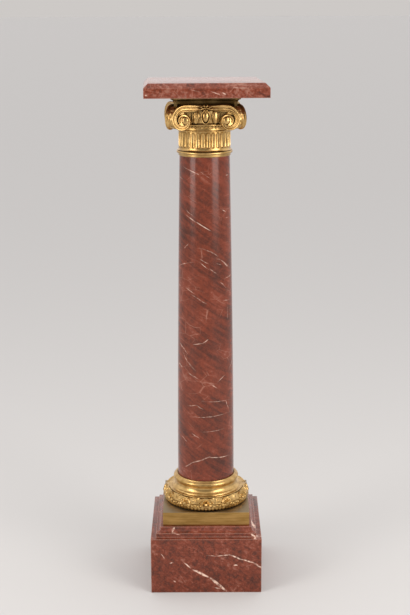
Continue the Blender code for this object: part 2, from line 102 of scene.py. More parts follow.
def drawn_up(name, profile, sides):
    """A piece drawn up from its foot through a profile of (reach, height), with four sides or round."""
    square = sides == 4
    corner = math.sqrt(2) if square else 1
    turn = math.pi / 4 if square else 0
    reach, height = profile[0]
    deselect_all()
    bpy.ops.mesh.primitive_circle_add(
        vertices=sides,
        radius=reach * corner,
        fill_type="NGON",
        location=(0, 0, height),
        rotation=(0, 0, turn),
    )
    piece = bpy.context.active_object
    piece.name = name
    apply_place(piece)
    bpy.ops.object.mode_set(mode="EDIT")
    bpy.ops.mesh.select_mode(type="FACE")
    bpy.ops.mesh.select_all(action="SELECT")
    for next_reach, next_height in profile[1:]:
        bpy.ops.mesh.extrude_region_move(TRANSFORM_OT_translate={"value": (0, 0, next_height - height)})
        grown = next_reach / reach
        bpy.ops.transform.resize(value=(grown, grown, 1), center_override=(0, 0, next_height))
        reach, height = next_reach, next_height
    bpy.ops.object.mode_set(mode="OBJECT")
    return piece


def round_arrises(piece, width):
    """Softens every sharp edge, as a mason's last rub does."""
    bevel = piece.modifiers.new("arris", "BEVEL")
    bevel.width = width
    bevel.segments = 3
    bevel.limit_method = "ANGLE"
    bevel.angle_limit = math.radians(30)
    take_up(piece)
    bpy.ops.object.modifier_apply(modifier=bevel.name)


def arc(centre, radii, start, end, steps):
    """Points (reach, height) on an ellipse's arc, from start to end in degrees."""
    points = []
    for i in range(steps + 1):
        angle = math.radians(start + (end - start) * i / steps)
        points.append((centre[0] + radii[0] * math.cos(angle), centre[1] + radii[1] * math.sin(angle)))
    return points


def join(pieces, name):
    """Joins pieces into the first one and names it."""
    take_up(pieces[0])
    for piece in pieces[1:]:
        piece.select_set(True)
    if len(pieces) > 1:
        bpy.ops.object.join()
    pieces[0].name = name
    return pieces[0]


def copies_round(piece, count, first=0.0):
    """Copies a piece into a ring round the column, each copy with its own mesh."""
    ring = []
    for number in range(count):
        copy = piece.copy()
        copy.data = piece.data.copy()
        bpy.context.collection.objects.link(copy)
        copy.data.transform(Matrix.Rotation((number + first) * math.tau / count, 4, "Z"))
        ring.append(copy)
    bpy.data.objects.remove(piece, do_unlink=True)
    return ring


def add_grid(bm, rows, rows_close=False, points_close=False):
    """Adds faces between neighbouring rows of points, and caps the ends of a run that doesn't close."""
    made = [[bm.verts.new(point) for point in row] for row in rows]
    pairs = list(zip(made, made[1:] + made[:1])) if rows_close else list(zip(made, made[1:]))
    for first, second in pairs:
        count = len(first)
        for i in range(count if points_close else count - 1):
            j = (i + 1) % count
            bm.faces.new((first[i], first[j], second[j], second[i]))
    if points_close and not rows_close:
        bm.faces.new(made[0])
        bm.faces.new(made[-1][::-1])
    if rows_close and not points_close:
        bm.faces.new([row[0] for row in made])
        bm.faces.new([row[-1] for row in made][::-1])


def object_from(bm, name):
    mesh = bpy.data.meshes.new(name)
    bm.to_mesh(mesh)
    bm.free()
    obj = bpy.data.objects.new(name, mesh)
    bpy.context.collection.objects.link(obj)
    return obj


def hand_over(piece, finish, node, slot):
    """Gives a finished piece its material and its body, and hides the CAD node that it stands for."""
    piece.data.materials.clear()
    piece.data.materials.append(finish)
    piece.data.name = piece.name
    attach(piece, "root")
    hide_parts(node)
    print(f"{piece.name}: {len(piece.data.polygons)} faces, {slot}")


# %% [markdown]
# Colours are written as a painter's hex values, which are sRGB. Blender mixes light in linear
# values, so one function turns them over. One more adds a node, sets it up and links it, and the
# short ones after it use that for what comes again and again, such as noises, ranges and blends.


# %% Helpers for the finishes
def colour(code):
    """A hex sRGB colour as the linear colour that Blender's sockets take."""
    parts = [int(code[i : i + 2], 16) / 255 for i in (1, 3, 5)]
    linear = [part / 12.92 if part <= 0.04045 else ((part + 0.055) / 1.055) ** 2.4 for part in parts]
    return (*linear, 1.0)


def add_node(tree, kind, settings=None, sockets=None):
    """Adds one node. A socket takes a value, or the output of another node."""
    node = tree.nodes.new("ShaderNode" + kind)
    for name, value in (settings or {}).items():
        setattr(node, name, value)
    for name, value in (sockets or {}).items():
        if isinstance(value, bpy.types.NodeSocket):
            tree.links.new(value, node.inputs[name])
        else:
            node.inputs[name].default_value = value
    return node


def new_finish(name):
    """A material with its tree, its shader and the place on the piece as a vector."""
    made = bpy.data.materials.new(name)
    made.use_nodes = True
    tree = made.node_tree
    place = add_node(tree, "TexCoord").outputs["Object"]
    return made, tree, tree.nodes["Principled BSDF"], place


def noise(tree, vector, size, detail, **more):
    """Noise from 0 to 1, with grains of about this size in metres."""
    sockets = {"Vector": vector, "Scale": 1 / size, "Detail": detail, **more}
    return add_node(tree, "TexNoise", None, sockets).outputs[0]


def spread(tree, value, start, end, low=0.0, high=1.0, curve="LINEAR"):
    """Low at the value start, high at the value end, in even or smooth steps between, and held past both."""
    sockets = {0: value, 1: start, 2: end, 3: low, 4: high}
    return add_node(tree, "MapRange", {"interpolation_type": curve}, sockets).outputs[0]


def mapped(tree, vector, kind="POINT", **sockets):
    """A vector moved, turned and scaled. With kind TEXTURE it is read in a frame placed so."""
    return add_node(tree, "Mapping", {"vector_type": kind}, {"Vector": vector, **sockets}).outputs[0]


def reckon(tree, operation, *values, clamp=False):
    """The result of one Math node."""
    settings = {"operation": operation, "use_clamp": clamp}
    return add_node(tree, "Math", settings, dict(enumerate(values))).outputs[0]


# The Mix node's sockets when it mixes colours
MIX_FACTOR = 0
MIX_FIRST = 6
MIX_SECOND = 7
MIX_RESULT = 2


def blend(tree, factor, first, second):
    """The first colour where the factor is 0, and the second where it is 1."""
    sockets = {MIX_FACTOR: factor, MIX_FIRST: first, MIX_SECOND: second}
    return add_node(tree, "Mix", {"data_type": "RGBA"}, sockets).outputs[MIX_RESULT]


def set_metal(tree, shader, shade, roughness, relief, depth, strength):
    """Gives a shader a metal's colour, its roughness and a fine relief as bump."""
    tree.links.new(shade, shader.inputs["Base Color"])
    tree.links.new(roughness, shader.inputs["Roughness"])
    bump = add_node(tree, "Bump", None, {"Height": relief, "Distance": depth, "Strength": strength})
    tree.links.new(bump.outputs[0], shader.inputs["Normal"])
    shader.inputs["Metallic"].default_value = 1.0


# %% [markdown]
# The stone is a red limestone that takes a high polish and is sold as marble. Its mud was stained
# by iron, so it is brick red with purple-brown patches a few millimetres wide, which gather in
# clouds as wide as a hand and in streaks that slant across the column. Cracks that calcite filled
# cross it as pale veins: thin sheets in the stone, so each is drawn as a flat lens in space, long
# and about a millimetre thick, with its line shaken by noise.

# %% Polished red marble
# Shades of the stone, from its dark patches to its pale ones, by the value of the noise
GROUND = (
    (0.34, colour("#4C281E")),
    (0.44, colour("#612F21")),
    (0.51, colour("#723523")),
    (0.58, colour("#7F3C29")),
    (0.70, colour("#956252")),
)
DARK_FLECK = colour("#452C22")
PALE_FLECK = colour("#A87261")
FLECK_SIZE = 2.8 * MM
# Values of the fleck noise at which a fleck starts and is full, and how strong it then is
DARK_SPAN = (0.54, 0.68)
DARK_SHARE = 0.55
PALE_SPAN = (0.45, 0.32)
PALE_SHARE = 0.22
CLOUD_SIZE = 65 * MM
CLOUD_SHARE = 0.36
STREAK_SIZE = (70 * MM, 40 * MM, 7 * MM)
STREAK_FALL = math.radians(36)
PATCH_SIZE = 8 * MM
PATCH_SPAN = (0.3, 0.7)
# The net of threads: the sides of stretched cells, with a thread's width as a share of a cell
PALE_THREAD = colour("#A87664")
THREAD_WIDTH = 0.016
THREAD_SHARE = 0.8
CELL_SIZE = 46 * MM
CELL_TURN = (0.3, 0.5, 0)
CELL_STRETCH = (1, 1, 1.9)
NET_SPAN = (0.56, 0.66)
# The drawn veins: how far noise shakes them, and where another noise breaks them
CALCITE = colour("#EFCFBB")
SHAKE = 3.6 * MM
SHAKE_SIZE = 10 * MM
BREAK_SIZE = 7 * MM
BREAK_SPAN = (0.40, 0.56)
BREAK_SHARE = 0.2
# A vein's lens: its half length, depth and thickness for each unit of the vein, and its strength
LENS_LENGTH = 0.56 * MM
LENS_DEPTH = 1.2
LENS_THICKNESS = 1.2 * MM
LENS_STRENGTH = 2.1
# A pale line along every arris and inner corner: partly wear, partly a painted highlight where polished edges
# catch the light
ARRIS_WEAR_AND_HIGHLIGHT = colour("#A98271")
ARRIS_WEAR_AND_HIGHLIGHT_SHARE = 0.8
ARRIS_WIDTH = 2.0 * MM
ARRIS_BEND = 0.97
POLISH = (0.15, 0.24)
REFLECTION = 0.36


def stone_ground(tree, own, cloud, patch, pale, mottled, streaky):
    """The reds of the stone: patches, clouds and slanting streaks, with dark and pale flecks."""
    slanting = mapped(tree, own, "TEXTURE", Rotation=(0, STREAK_FALL, 0), Scale=STREAK_SIZE)
    streak = noise(tree, slanting, 1.0, 3.0, Distortion=0.5)
    tone = 0.5 * (1 - mottled - CLOUD_SHARE - streaky) + pale
    for source, share in ((patch, mottled), (cloud, CLOUD_SHARE), (streak, streaky)):
        tone = reckon(tree, "MULTIPLY_ADD", source, share, tone)
    ground = add_node(tree, "ValToRGB", None, {0: tone})
    stops = ground.color_ramp.elements
    while len(stops) < len(GROUND):
        stops.new(0.5)
    for stop, (value, shade) in zip(stops, GROUND):
        stop.position = value
        stop.color = shade
    stone = ground.outputs[0]
    fleck = noise(tree, own, FLECK_SIZE, 2.0, Distortion=0.4)
    for grain, span, share in ((DARK_FLECK, DARK_SPAN, DARK_SHARE), (PALE_FLECK, PALE_SPAN, PALE_SHARE)):
        shown = spread(tree, fleck, *span, high=share * mottled, curve="SMOOTHSTEP")
        stone = blend(tree, shown, stone, grain)
    return stone


def thread_net(tree, shaken, offset, cloud, threads):
    """The fine net of pale threads, which shows in the paler clouds."""
    stretched = mapped(tree, shaken, Location=offset, Rotation=CELL_TURN, Scale=CELL_STRETCH)
    sockets = {"Vector": stretched, "Scale": 1 / CELL_SIZE}
    cells = add_node(tree, "TexVoronoi", {"feature": "DISTANCE_TO_EDGE"}, sockets).outputs[0]
    thread = spread(tree, cells, 0.0, THREAD_WIDTH, THREAD_SHARE, 0.0)
    shown = spread(tree, cloud, NET_SPAN[0] - threads, NET_SPAN[1] - threads)
    return reckon(tree, "MULTIPLY", thread, shown)


def drawn_veins(tree, shaken, sides, depth, faint):
    """How much of a place is vein: the strongest of the lenses, one to a vein."""
    total = 0.0
    for turn, veins in sides:
        turned = Matrix.Rotation(math.radians(turn), 3, "Z")
        for across, low, to_across, to_low, width, strength in veins:
            run = Vector((to_across - across, to_low - low))
            middle = Vector(((across + to_across) / 2 * MM, -depth, (low + to_low) / 2 * MM))
            lens = mapped(
                tree,
                shaken,
                "TEXTURE",
                Location=turned @ middle,
                Rotation=(0, -math.atan2(run.y, run.x), math.radians(turn)),
                Scale=(run.length * LENS_LENGTH, depth * LENS_DEPTH, width * faint * LENS_THICKNESS),
            )
            core = add_node(tree, "TexGradient", {"gradient_type": "SPHERICAL"}, {"Vector": lens}).outputs[1]
            vein = reckon(tree, "MULTIPLY", core, strength * LENS_STRENGTH, clamp=True)
            total = reckon(tree, "MAXIMUM", total, vein)
    return total


def arris_wear_and_highlight(tree):
    """How much pale wear and painted highlight a place gets: most where the normal of a rounded edge leaves
    the face's own.
    """
    surface = add_node(tree, "NewGeometry").outputs["Normal"]
    rounded = add_node(tree, "Bevel", {"samples": 6}, {"Radius": ARRIS_WIDTH}).outputs[0]
    bent = add_node(tree, "VectorMath", {"operation": "DOT_PRODUCT"}, {0: surface, 1: rounded}).outputs[1]
    return spread(tree, bent, 1.0, ARRIS_BEND, 0.0, ARRIS_WEAR_AND_HIGHLIGHT_SHARE)


def red_marble(name, offset, sides, depth, threads, pale, mottled, streaky, faint=1.0):
    """Red marble. sides pairs a side's turn in degrees with its veins, in millimetres.

    A vein is (across, height, across, height, width, strength) from one end to the other, and depth
    is how far in front of the axis the veins lie. threads is how much of the stone the net of
    threads covers, and pale moves the whole stone towards its paler shades. mottled, streaky and
    faint are how strongly the patches, the slanting streaks and the drawn veins show.
    """
    made, tree, shader, place = new_finish(name)
    own = mapped(tree, place, Location=offset)
    cloud = noise(tree, own, CLOUD_SIZE, 3.0)
    patch = noise(tree, own, PATCH_SIZE, 4.0, Roughness=0.55, Distortion=0.7)
    stone = stone_ground(tree, own, cloud, patch, pale, mottled, streaky)
    wander = add_node(tree, "TexNoise", None, {"Vector": own, "Scale": 1 / SHAKE_SIZE, "Detail": 4.0})
    centre = (0.5, 0.5, 0.5)
    centred = add_node(tree, "VectorMath", {"operation": "SUBTRACT"}, {0: wander.outputs[1], 1: centre})
    scaled = add_node(tree, "VectorMath", {"operation": "SCALE"}, {0: centred.outputs[0], "Scale": SHAKE})
    shaken = add_node(tree, "VectorMath", {"operation": "ADD"}, {0: place, 1: scaled.outputs[0]}).outputs[0]
    stone = blend(tree, thread_net(tree, shaken, offset, cloud, threads), stone, PALE_THREAD)
    whole = spread(tree, noise(tree, own, BREAK_SIZE, 3.0), *BREAK_SPAN, BREAK_SHARE * faint, faint)
    vein = reckon(tree, "MULTIPLY", drawn_veins(tree, shaken, sides, depth, faint), whole)
    stone = blend(tree, vein, stone, CALCITE)
    # The pale line on the arrises: wear and a painted highlight
    stone = blend(tree, arris_wear_and_highlight(tree), stone, ARRIS_WEAR_AND_HIGHLIGHT)
    tree.links.new(stone, shader.inputs["Base Color"])
    tree.links.new(spread(tree, patch, *PATCH_SPAN, *POLISH), shader.inputs["Roughness"])
    shader.inputs["Specular IOR Level"].default_value = REFLECTION
    return made


# Veins drawn by lot: mean and spread of the slope in degrees, and ranges of the other values
UNSEEN_SLOPES = (-22, 30)
UNSEEN_HALVES = (4, 26)
UNSEEN_WIDTHS = (0.6, 1.5)
UNSEEN_STRENGTHS = (0.3, 0.9)


def unseen_veins(seed, count, half_width, low, high):
    """Veins of the same kind, drawn by lot for the three sides that the photograph doesn't show."""
    lot = random.Random(seed)
    sides = []
    for turn in (90, 180, 270):
        veins = []
        for _ in range(count):
            across = lot.uniform(-half_width, half_width)
            height = lot.uniform(low, high)
            slope = math.radians(lot.gauss(*UNSEEN_SLOPES))
            half = lot.uniform(*UNSEEN_HALVES)
            run = half * math.cos(slope)
            rise = half * math.sin(slope)
            ends = (across - run, height - rise, across + run, height + rise)
            veins.append((*ends, lot.uniform(*UNSEEN_WIDTHS), lot.uniform(*UNSEEN_STRENGTHS)))
        sides.append((turn, veins))
    return sides


# %% [markdown]
# The mounts are cast bronze, chased, fire gilt and burnished on the high places. Gold over bronze
# is a warm yellow metal with a soft gloss. In the hollows the gilding was left matt and has
# gathered wax and dust. Ambient occlusion finds those hollows and paints them dark brown: partly
# that wax, and partly painted shade where the hollows, creases and undersides fall into shadow.

# %% Fire gilt bronze
GOLD = colour("#D2AF73")
MATT_GOLD = colour("#A8854D")
WAX_AND_PAINTED_SHADE = colour("#3A2A14")
RUB_SIZE = 14 * MM
RUB_SPAN = (0.35, 0.70)
WAXED_ROUGHNESS = 0.50
CLEAN_ROUGHNESS = 0.29
SKIN_SIZE = 1.4 * MM
SKIN_STRENGTH = 0.6


def gilt_bronze(name, hollow, grit, wax_and_shade_full_at, wax_and_shade_gone_from):
    """Gilt bronze. hollow is how wide a hollow holds wax and painted shade, and grit how rough its skin is,
    in metres.

    The last two are the shares of open sky at which the wax and the painted shade are full and gone.
    """
    made, tree, shader, place = new_finish(name)
    # Wax and painted shade: ambient occlusion browns the hollows, the creases and the places under other
    # parts
    shade = add_node(tree, "AmbientOcclusion", {"samples": 8}, {"Distance": hollow}).outputs["AO"]
    unwaxed_unshaded = spread(tree, shade, wax_and_shade_full_at, wax_and_shade_gone_from, curve="SMOOTHSTEP")
    rubbed = spread(tree, noise(tree, place, RUB_SIZE, 4.0), *RUB_SPAN)
    metal = blend(tree, unwaxed_unshaded, WAX_AND_PAINTED_SHADE, blend(tree, rubbed, GOLD, MATT_GOLD))
    roughness = spread(tree, unwaxed_unshaded, 0.0, 1.0, WAXED_ROUGHNESS, CLEAN_ROUGHNESS)
    set_metal(tree, shader, metal, roughness, noise(tree, place, SKIN_SIZE, 3.0), grit, SKIN_STRENGTH)
    return made


# Each finish browns its hollows as wax and painted shade, over its own reach of ambient occlusion
gilt_turned = gilt_bronze("fire_gilt_bronze_burnished", 9 * MM, 0.05 * MM, wax_and_shade_full_at=0.20, wax_and_shade_gone_from=0.78)
gilt_carved = gilt_bronze("fire_gilt_bronze_chased", 8 * MM, 0.08 * MM, wax_and_shade_full_at=0.16, wax_and_shade_gone_from=0.72)
gilt_wreath = gilt_bronze("fire_gilt_bronze_wreath", 4 * MM, 0.10 * MM, wax_and_shade_full_at=0.12, wax_and_shade_gone_from=0.52)
# Painted shade: this finish browns the abacus over a 45 mm reach, as the shadow of the slab that overhangs it
gilt_painted_slab_shadow = gilt_bronze("fire_gilt_bronze_painted_slab_shadow", 45 * MM, 0.05 * MM, wax_and_shade_full_at=0.38, wax_and_shade_gone_from=1.0)
print("finishes:", gilt_turned.name, gilt_carved.name, gilt_wreath.name, gilt_painted_slab_shadow.name)

# %% [markdown]
# The square plate is bare bronze, drawn along its length with grit, so fine scratches run level
# across its faces. Noise that is squeezed in height and stretched along the face gives those lines.

# %% Brushed bronze
BRONZE = colour("#B99358")
BROWN_BRONZE = colour("#9A7740")
DUSTY_BRONZE = colour("#8A7A60")
# Heights under the plate's top between which the dust starts
DUST_DEPTHS = (0.5 * MM, 0.1 * MM)
SCRATCH_STRETCH = (0.02, 0.02, 1)
SCRATCH_SIZE = 1.1 * MM
SCRATCH_DEPTH = 0.06 * MM
SCRATCH_STRENGTH = 0.7
STAIN_STRETCH = (0.25, 0.25, 1)
STAIN_SIZE = 9 * MM
BROWN_SPAN = (0.85, 1.25)
BRUSHED_SPAN = (0.3, 0.7)
BRUSHED_ROUGHNESS = (0.36, 0.52)


def brushed_bronze(name, top):
    """Brushed bronze. Dust has dulled it from the height named top on."""
    made, tree, shader, place = new_finish(name)
    height = add_node(tree, "SeparateXYZ", None, {0: place}).outputs[2]
    dusty = spread(tree, height, top - DUST_DEPTHS[0], top - DUST_DEPTHS[1])
    scratch = noise(tree, mapped(tree, place, Scale=SCRATCH_STRETCH), SCRATCH_SIZE, 3.0)
    stain = noise(tree, mapped(tree, place, Scale=STAIN_STRETCH), STAIN_SIZE, 3.0)
    brown = spread(tree, reckon(tree, "ADD", scratch, stain), *BROWN_SPAN)
    metal = blend(tree, dusty, blend(tree, brown, BRONZE, BROWN_BRONZE), DUSTY_BRONZE)
    roughness = spread(tree, scratch, *BRUSHED_SPAN, *BRUSHED_ROUGHNESS)
    set_metal(tree, shader, metal, roughness, scratch, SCRATCH_DEPTH, SCRATCH_STRENGTH)
    return made


# %% [markdown]
# The plinth is one block of marble with its moulding cut on it: a ledge, a riser, a hollow and a
# thin rim under the bronze plate. It is drawn up from a square through that profile, then every
# arris is rounded a little, which catches a thin line of light as the polished stone does. The
# marble's colour also puts a pale line along every arris, partly wear and partly a painted highlight.

# %% Plinth
PLINTH_VEINS = [
    (-50, 73, -34, 58, 1.3, 0.9), (-30, 56, 7, 36, 2.5, 1.2), (7, 37, 45, 3, 3.0, 1.2),
    (0, 90, 24, 88, 0.8, 0.4), (22, 88, 52, 91, 1.1, 0.8), (48, 93, 80, 79, 1.6, 1.1),
    (76, 81, 108, 71, 1.5, 1.0), (104, 73, 124, 58, 1.9, 1.1), (-82, 71, -72, 74, 1.2, 0.7),
    (60, 66, 70, 66, 1.5, 0.9), (-101, 95, -92, 82, 0.9, 0.6), (18, 12, 32, 9, 1.4, 0.5),
    (-70, 148, -76, 138, 2.4, 1.2), (-77, 139, -56, 134, 0.9, 0.7), (99, 137, 111, 127, 2.2, 1.1),
    (-74, 29, -68, 26, 1.6, 0.6),
]
# A vein that runs back along the right-hand mouldings
LEDGE_VEINS = [(-112, 128, -84, 137, 2.6, 1.2), (-88, 136, -30, 148, 3.0, 1.1)]
plinth_low, plinth_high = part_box("plinth")
PLINTH_HALF = plinth_high.x
BLOCK_HEIGHT = 128.3 * MM
LEDGE_WIDTH = 11.5 * MM
RISER_HEIGHT = 9.4 * MM
HOLLOW_WIDTH = 9.8 * MM
HOLLOW_HEIGHT = 7.7 * MM
PLINTH_ARRIS = 1.1 * MM


def make_plinth():
    riser = PLINTH_HALF - LEDGE_WIDTH
    riser_top = BLOCK_HEIGHT + RISER_HEIGHT
    profile = [(PLINTH_HALF, plinth_low.z), (PLINTH_HALF, BLOCK_HEIGHT), (riser, BLOCK_HEIGHT)]
    profile += arc((riser, riser_top + HOLLOW_HEIGHT), (HOLLOW_WIDTH, HOLLOW_HEIGHT), 270, 180, 14)
    profile += [(riser - HOLLOW_WIDTH, plinth_high.z)]
    plinth = drawn_up("plinth_marble", profile, sides=4)
    round_arrises(plinth, PLINTH_ARRIS)
    return smooth(plinth)


plinth = make_plinth()
plinth_sides = [(0, PLINTH_VEINS), (90, LEDGE_VEINS)]
plinth_sides += unseen_veins(seed=5, count=9, half_width=105, low=12, high=120)
plinth_finish = red_marble(
    "polished_red_marble_plinth",
    (0.31, 0.12, 0.57),
    plinth_sides,
    PLINTH_HALF,
    threads=0.04,
    pale=0.015,
    mottled=0.65,
    streaky=0.3,
)
hand_over(plinth, plinth_finish, "plinth", "marble")

# %% [markdown]
# The bronze plate is a plain square block. A cube would do, but the CAD's box gives its faces, and
# the same helper as for the plinth draws it up, with a fine rounding that bronze keeps where filed.

# %% Base plate
plate_low, plate_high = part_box("base_plate")
PLATE_ARRIS = 0.7 * MM


def make_plate():
    half = plate_high.x
    plate = drawn_up("base_plate_bronze", [(half, plate_low.z), (half, plate_high.z)], sides=4)
    round_arrises(plate, PLATE_ARRIS)
    return smooth(plate)


plate = make_plate()
hand_over(plate, brushed_bronze("brushed_bronze_plate", plate_high.z), "base_plate", "brushed_bronze")

# %% [markdown]
# The base was cast in one and turned: from below a big torus with leaves, a slope, a hollow and the
# ring that the shaft stands in. The plain part is drawn up on a circle, with the socket let into
# its top, so that the shaft goes down into it.

# %% Bronze base: its turned mouldings
base_low, base_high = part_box("base")
shaft_low, shaft_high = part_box("shaft")
FOOT_RADIUS = 94.5 * MM
FOOT_HEIGHT = 28.7 * MM
FOOT_BULGE = 11 * MM
SLOPE_WIDTH = 8.2 * MM
SLOPE_HEIGHT = 4.0 * MM
SCOTIA_HEIGHT = 15.9 * MM
WAIST_HEIGHT = 11.5 * MM
TOP_FILLET_HEIGHT = 3.4 * MM
WAIST_RADIUS = 68.3 * MM
RING_RADIUS = 73.55 * MM
SHAFT_FOOT_RADIUS = shaft_high.x
PLAY = 0.3 * MM
ROUND = 160
# The turned part starts inside the wreath, and the wreath ends above under a small fillet
CORE_INSET = 4 * MM
CORE_DROP = 3 * MM
WREATH_FILLET = (1.5 * MM, 1.0 * MM)
WREATH_FILLET_RISE = 1.6 * MM
WREATH_FILLET_INSET = 0.5 * MM
SLOPE_OUT = 1 * MM
LIP_ROUND = 0.5 * MM
SCOTIA_SHARE = 0.92
WAIST_ROUND = (3.2 * MM, 4.2 * MM)
SOCKET_ROUND = 2.0 * MM
SOCKET_EASE = 0.2 * MM
SOCKET_DROP = 0.6 * MM


def make_base_mouldings():
    torus_middle = FOOT_RADIUS - FOOT_BULGE
    slope_foot = base_low.z + FOOT_HEIGHT
    slope_top = slope_foot + SLOPE_HEIGHT
    waist = slope_top + WAIST_HEIGHT
    ring_bottom = slope_top + SCOTIA_HEIGHT
    ring_half = (base_high.z - TOP_FILLET_HEIGHT - ring_bottom) / 2
    slope_out = torus_middle + SLOPE_OUT
    lip = slope_out - SLOPE_WIDTH
    edge = lip - LIP_ROUND
    bore = SHAFT_FOOT_RADIUS + PLAY
    profile = [(torus_middle - CORE_INSET, base_low.z + CORE_INSET), (slope_out, slope_foot - CORE_DROP)]
    fillet_centre = (torus_middle - WREATH_FILLET_INSET, slope_foot + WREATH_FILLET_RISE)
    profile += arc(fillet_centre, WREATH_FILLET, -80, 60, 5)
    profile += [(lip + 1.2 * MM, slope_top - 1.6 * MM), (lip + 0.6 * MM, slope_top - 0.5 * MM)]
    profile += [(edge, slope_top)]
    profile += arc((edge, waist), (edge - WAIST_RADIUS, WAIST_HEIGHT * SCOTIA_SHARE), 264, 180, 14)
    profile += arc((WAIST_RADIUS + WAIST_ROUND[0], waist), WAIST_ROUND, 172, 150, 3)
    profile += arc((RING_RADIUS - ring_half, ring_bottom + ring_half), (ring_half, ring_half), -88, 72, 16)
    socket_centre = (bore + SOCKET_ROUND + SOCKET_EASE, base_high.z - SOCKET_ROUND)
    profile += arc(socket_centre, (SOCKET_ROUND, SOCKET_ROUND), 0, 100, 6)
    profile += [(bore, base_high.z - SOCKET_DROP), (bore, shaft_low.z - PLAY)]
    return smooth(drawn_up("base_mouldings", profile, ROUND))


hand_over(make_base_mouldings(), gilt_turned, "base", "gilt_bronze")

# %% [markdown]
# Round the torus runs a wreath, the same twelve times: a fan of spokes under an arch over a small
# boss, a thick ribbon to the next fan, a leaf in each corner above, and leaf tips along the foot.
# Such chasing is shallow and lies on a round form, so it is made as a fine grid of points on the
# torus, each raised by a function of its place: no operator would lay it on as evenly.

# %% Bronze base: the wreath
FANS = 12
WREATH_STEPS = 72
WREATH_RINGS = 44
WREATH_GIRTH = 40 * MM
WREATH_RELIEF = 1.45
BAY = math.tau * FOOT_RADIUS / FANS
BAY_END = BAY / MM / 2
# From here on, sizes in millimetres on the torus, with levels that count from its foot up
GROUND_RISE = 0.25
FAN_FOOT = 21.5
ARCH_RADIUS = 13.4
ARCH_WIDTH = 1.2
ARCH_RISE = 2.3
ARCH_TURN = 104
SPOKES = 9
SPOKES_TURN = 200
SPOKE_RISE = 2.4
SPOKE_END = 9.8
LOBE_TURN = 38
LOBE_REACH = 4.2
LOBE_WIDTH = 1.5
LOBE_LENGTH = 3.2
LOBE_RISE = 2.0
BOSS_RADIUS = 2.4
BOSS_RISE = 3.1
RIBBON_LEVEL = 24.8
RIBBON_LENGTH = 7.2
RIBBON_WIDTH = 2.6
RIBBON_RISE = 2.7
RIBBON_GROOVE = 0.35
LEAF_FOOT = 27.5
LEAF_TOP = 39
LEAF_SPLAY = 0.95
LEAF_EDGE = 1.1
LEAF_RISE = 1.5
LEAF_RIB = 0.7
TIPS = 6
TIP_LEVEL = 11.0
TIP_WIDTH = 3.0
TIP_LENGTH = 5.2
TIP_RISE = 2.2
TIP_GROOVE = 0.4
BERRY_RISE = 2.2
# (place across, level, radius) of each berry
BERRIES = ((11.5, 18.5, 1.9), (17.5, 17.2, 1.7), (BAY_END, 19.0, 1.8), (14.8, 27.8, 1.2))


def ridge(distance, half_width):
    """1 on a ridge's crest, falling off to nothing on both sides."""
    return math.exp(-((distance / half_width) ** 2))


def off_nearest(value, pitch):
    """How far a value is from the nearest multiple of the pitch."""
    return abs((value + pitch / 2) % pitch - pitch / 2)


def wreath_relief(across, along):
    """How far the wreath stands out, in millimetres, at a place on one bay of the torus."""
    across = abs(across)
    off_end = BAY_END - across
    reach = math.hypot(across, along - FAN_FOOT)
    turn = math.degrees(math.atan2(across, along - FAN_FOOT))
    heights = [GROUND_RISE]
    if turn < ARCH_TURN:
        heights.append(ARCH_RISE * ridge(reach - ARCH_RADIUS, ARCH_WIDTH))
        off = math.radians(off_nearest(turn, SPOKES_TURN / (SPOKES - 1))) * reach
        inside = 1 / (1 + math.exp((reach - SPOKE_END) * 2.5))
        heights.append(SPOKE_RISE * ridge(off, 0.35 + reach * 0.10) * inside)
    else:
        off = math.radians(off_nearest(turn - 180, LOBE_TURN)) * reach
        heights.append(LOBE_RISE * ridge(off, LOBE_WIDTH) * ridge(reach - LOBE_REACH, LOBE_LENGTH))
    heights.append(BOSS_RISE * ridge(reach, BOSS_RADIUS))
    ribbon_out = max(0.0, off_end - RIBBON_LENGTH)
    ribbon = RIBBON_RISE * ridge(math.hypot(ribbon_out, along - RIBBON_LEVEL), RIBBON_WIDTH)
    heights.append(ribbon * (1 - RIBBON_GROOVE * ridge(along - RIBBON_LEVEL, 0.5)))
    if LEAF_FOOT < along < LEAF_TOP:
        leaf_half = max(0.1, (along - LEAF_FOOT) * LEAF_SPLAY)
        inside_leaf = min(1.0, max(0.0, leaf_half - off_end) / LEAF_EDGE)
        heights.append(inside_leaf * (LEAF_RISE + LEAF_RIB * ridge(off_end, 0.7)))
    tip = off_nearest(across, BAY / MM / TIPS)
    tip_shape = ridge(math.hypot(tip / TIP_WIDTH, (along - TIP_LEVEL) / TIP_LENGTH), 0.9)
    heights.append(TIP_RISE * tip_shape * (1 - TIP_GROOVE * ridge(tip, 0.5)))
    for berry_across, level, radius in BERRIES:
        heights.append(BERRY_RISE * ridge(math.hypot(across - berry_across, along - level), radius))
    return max(heights)


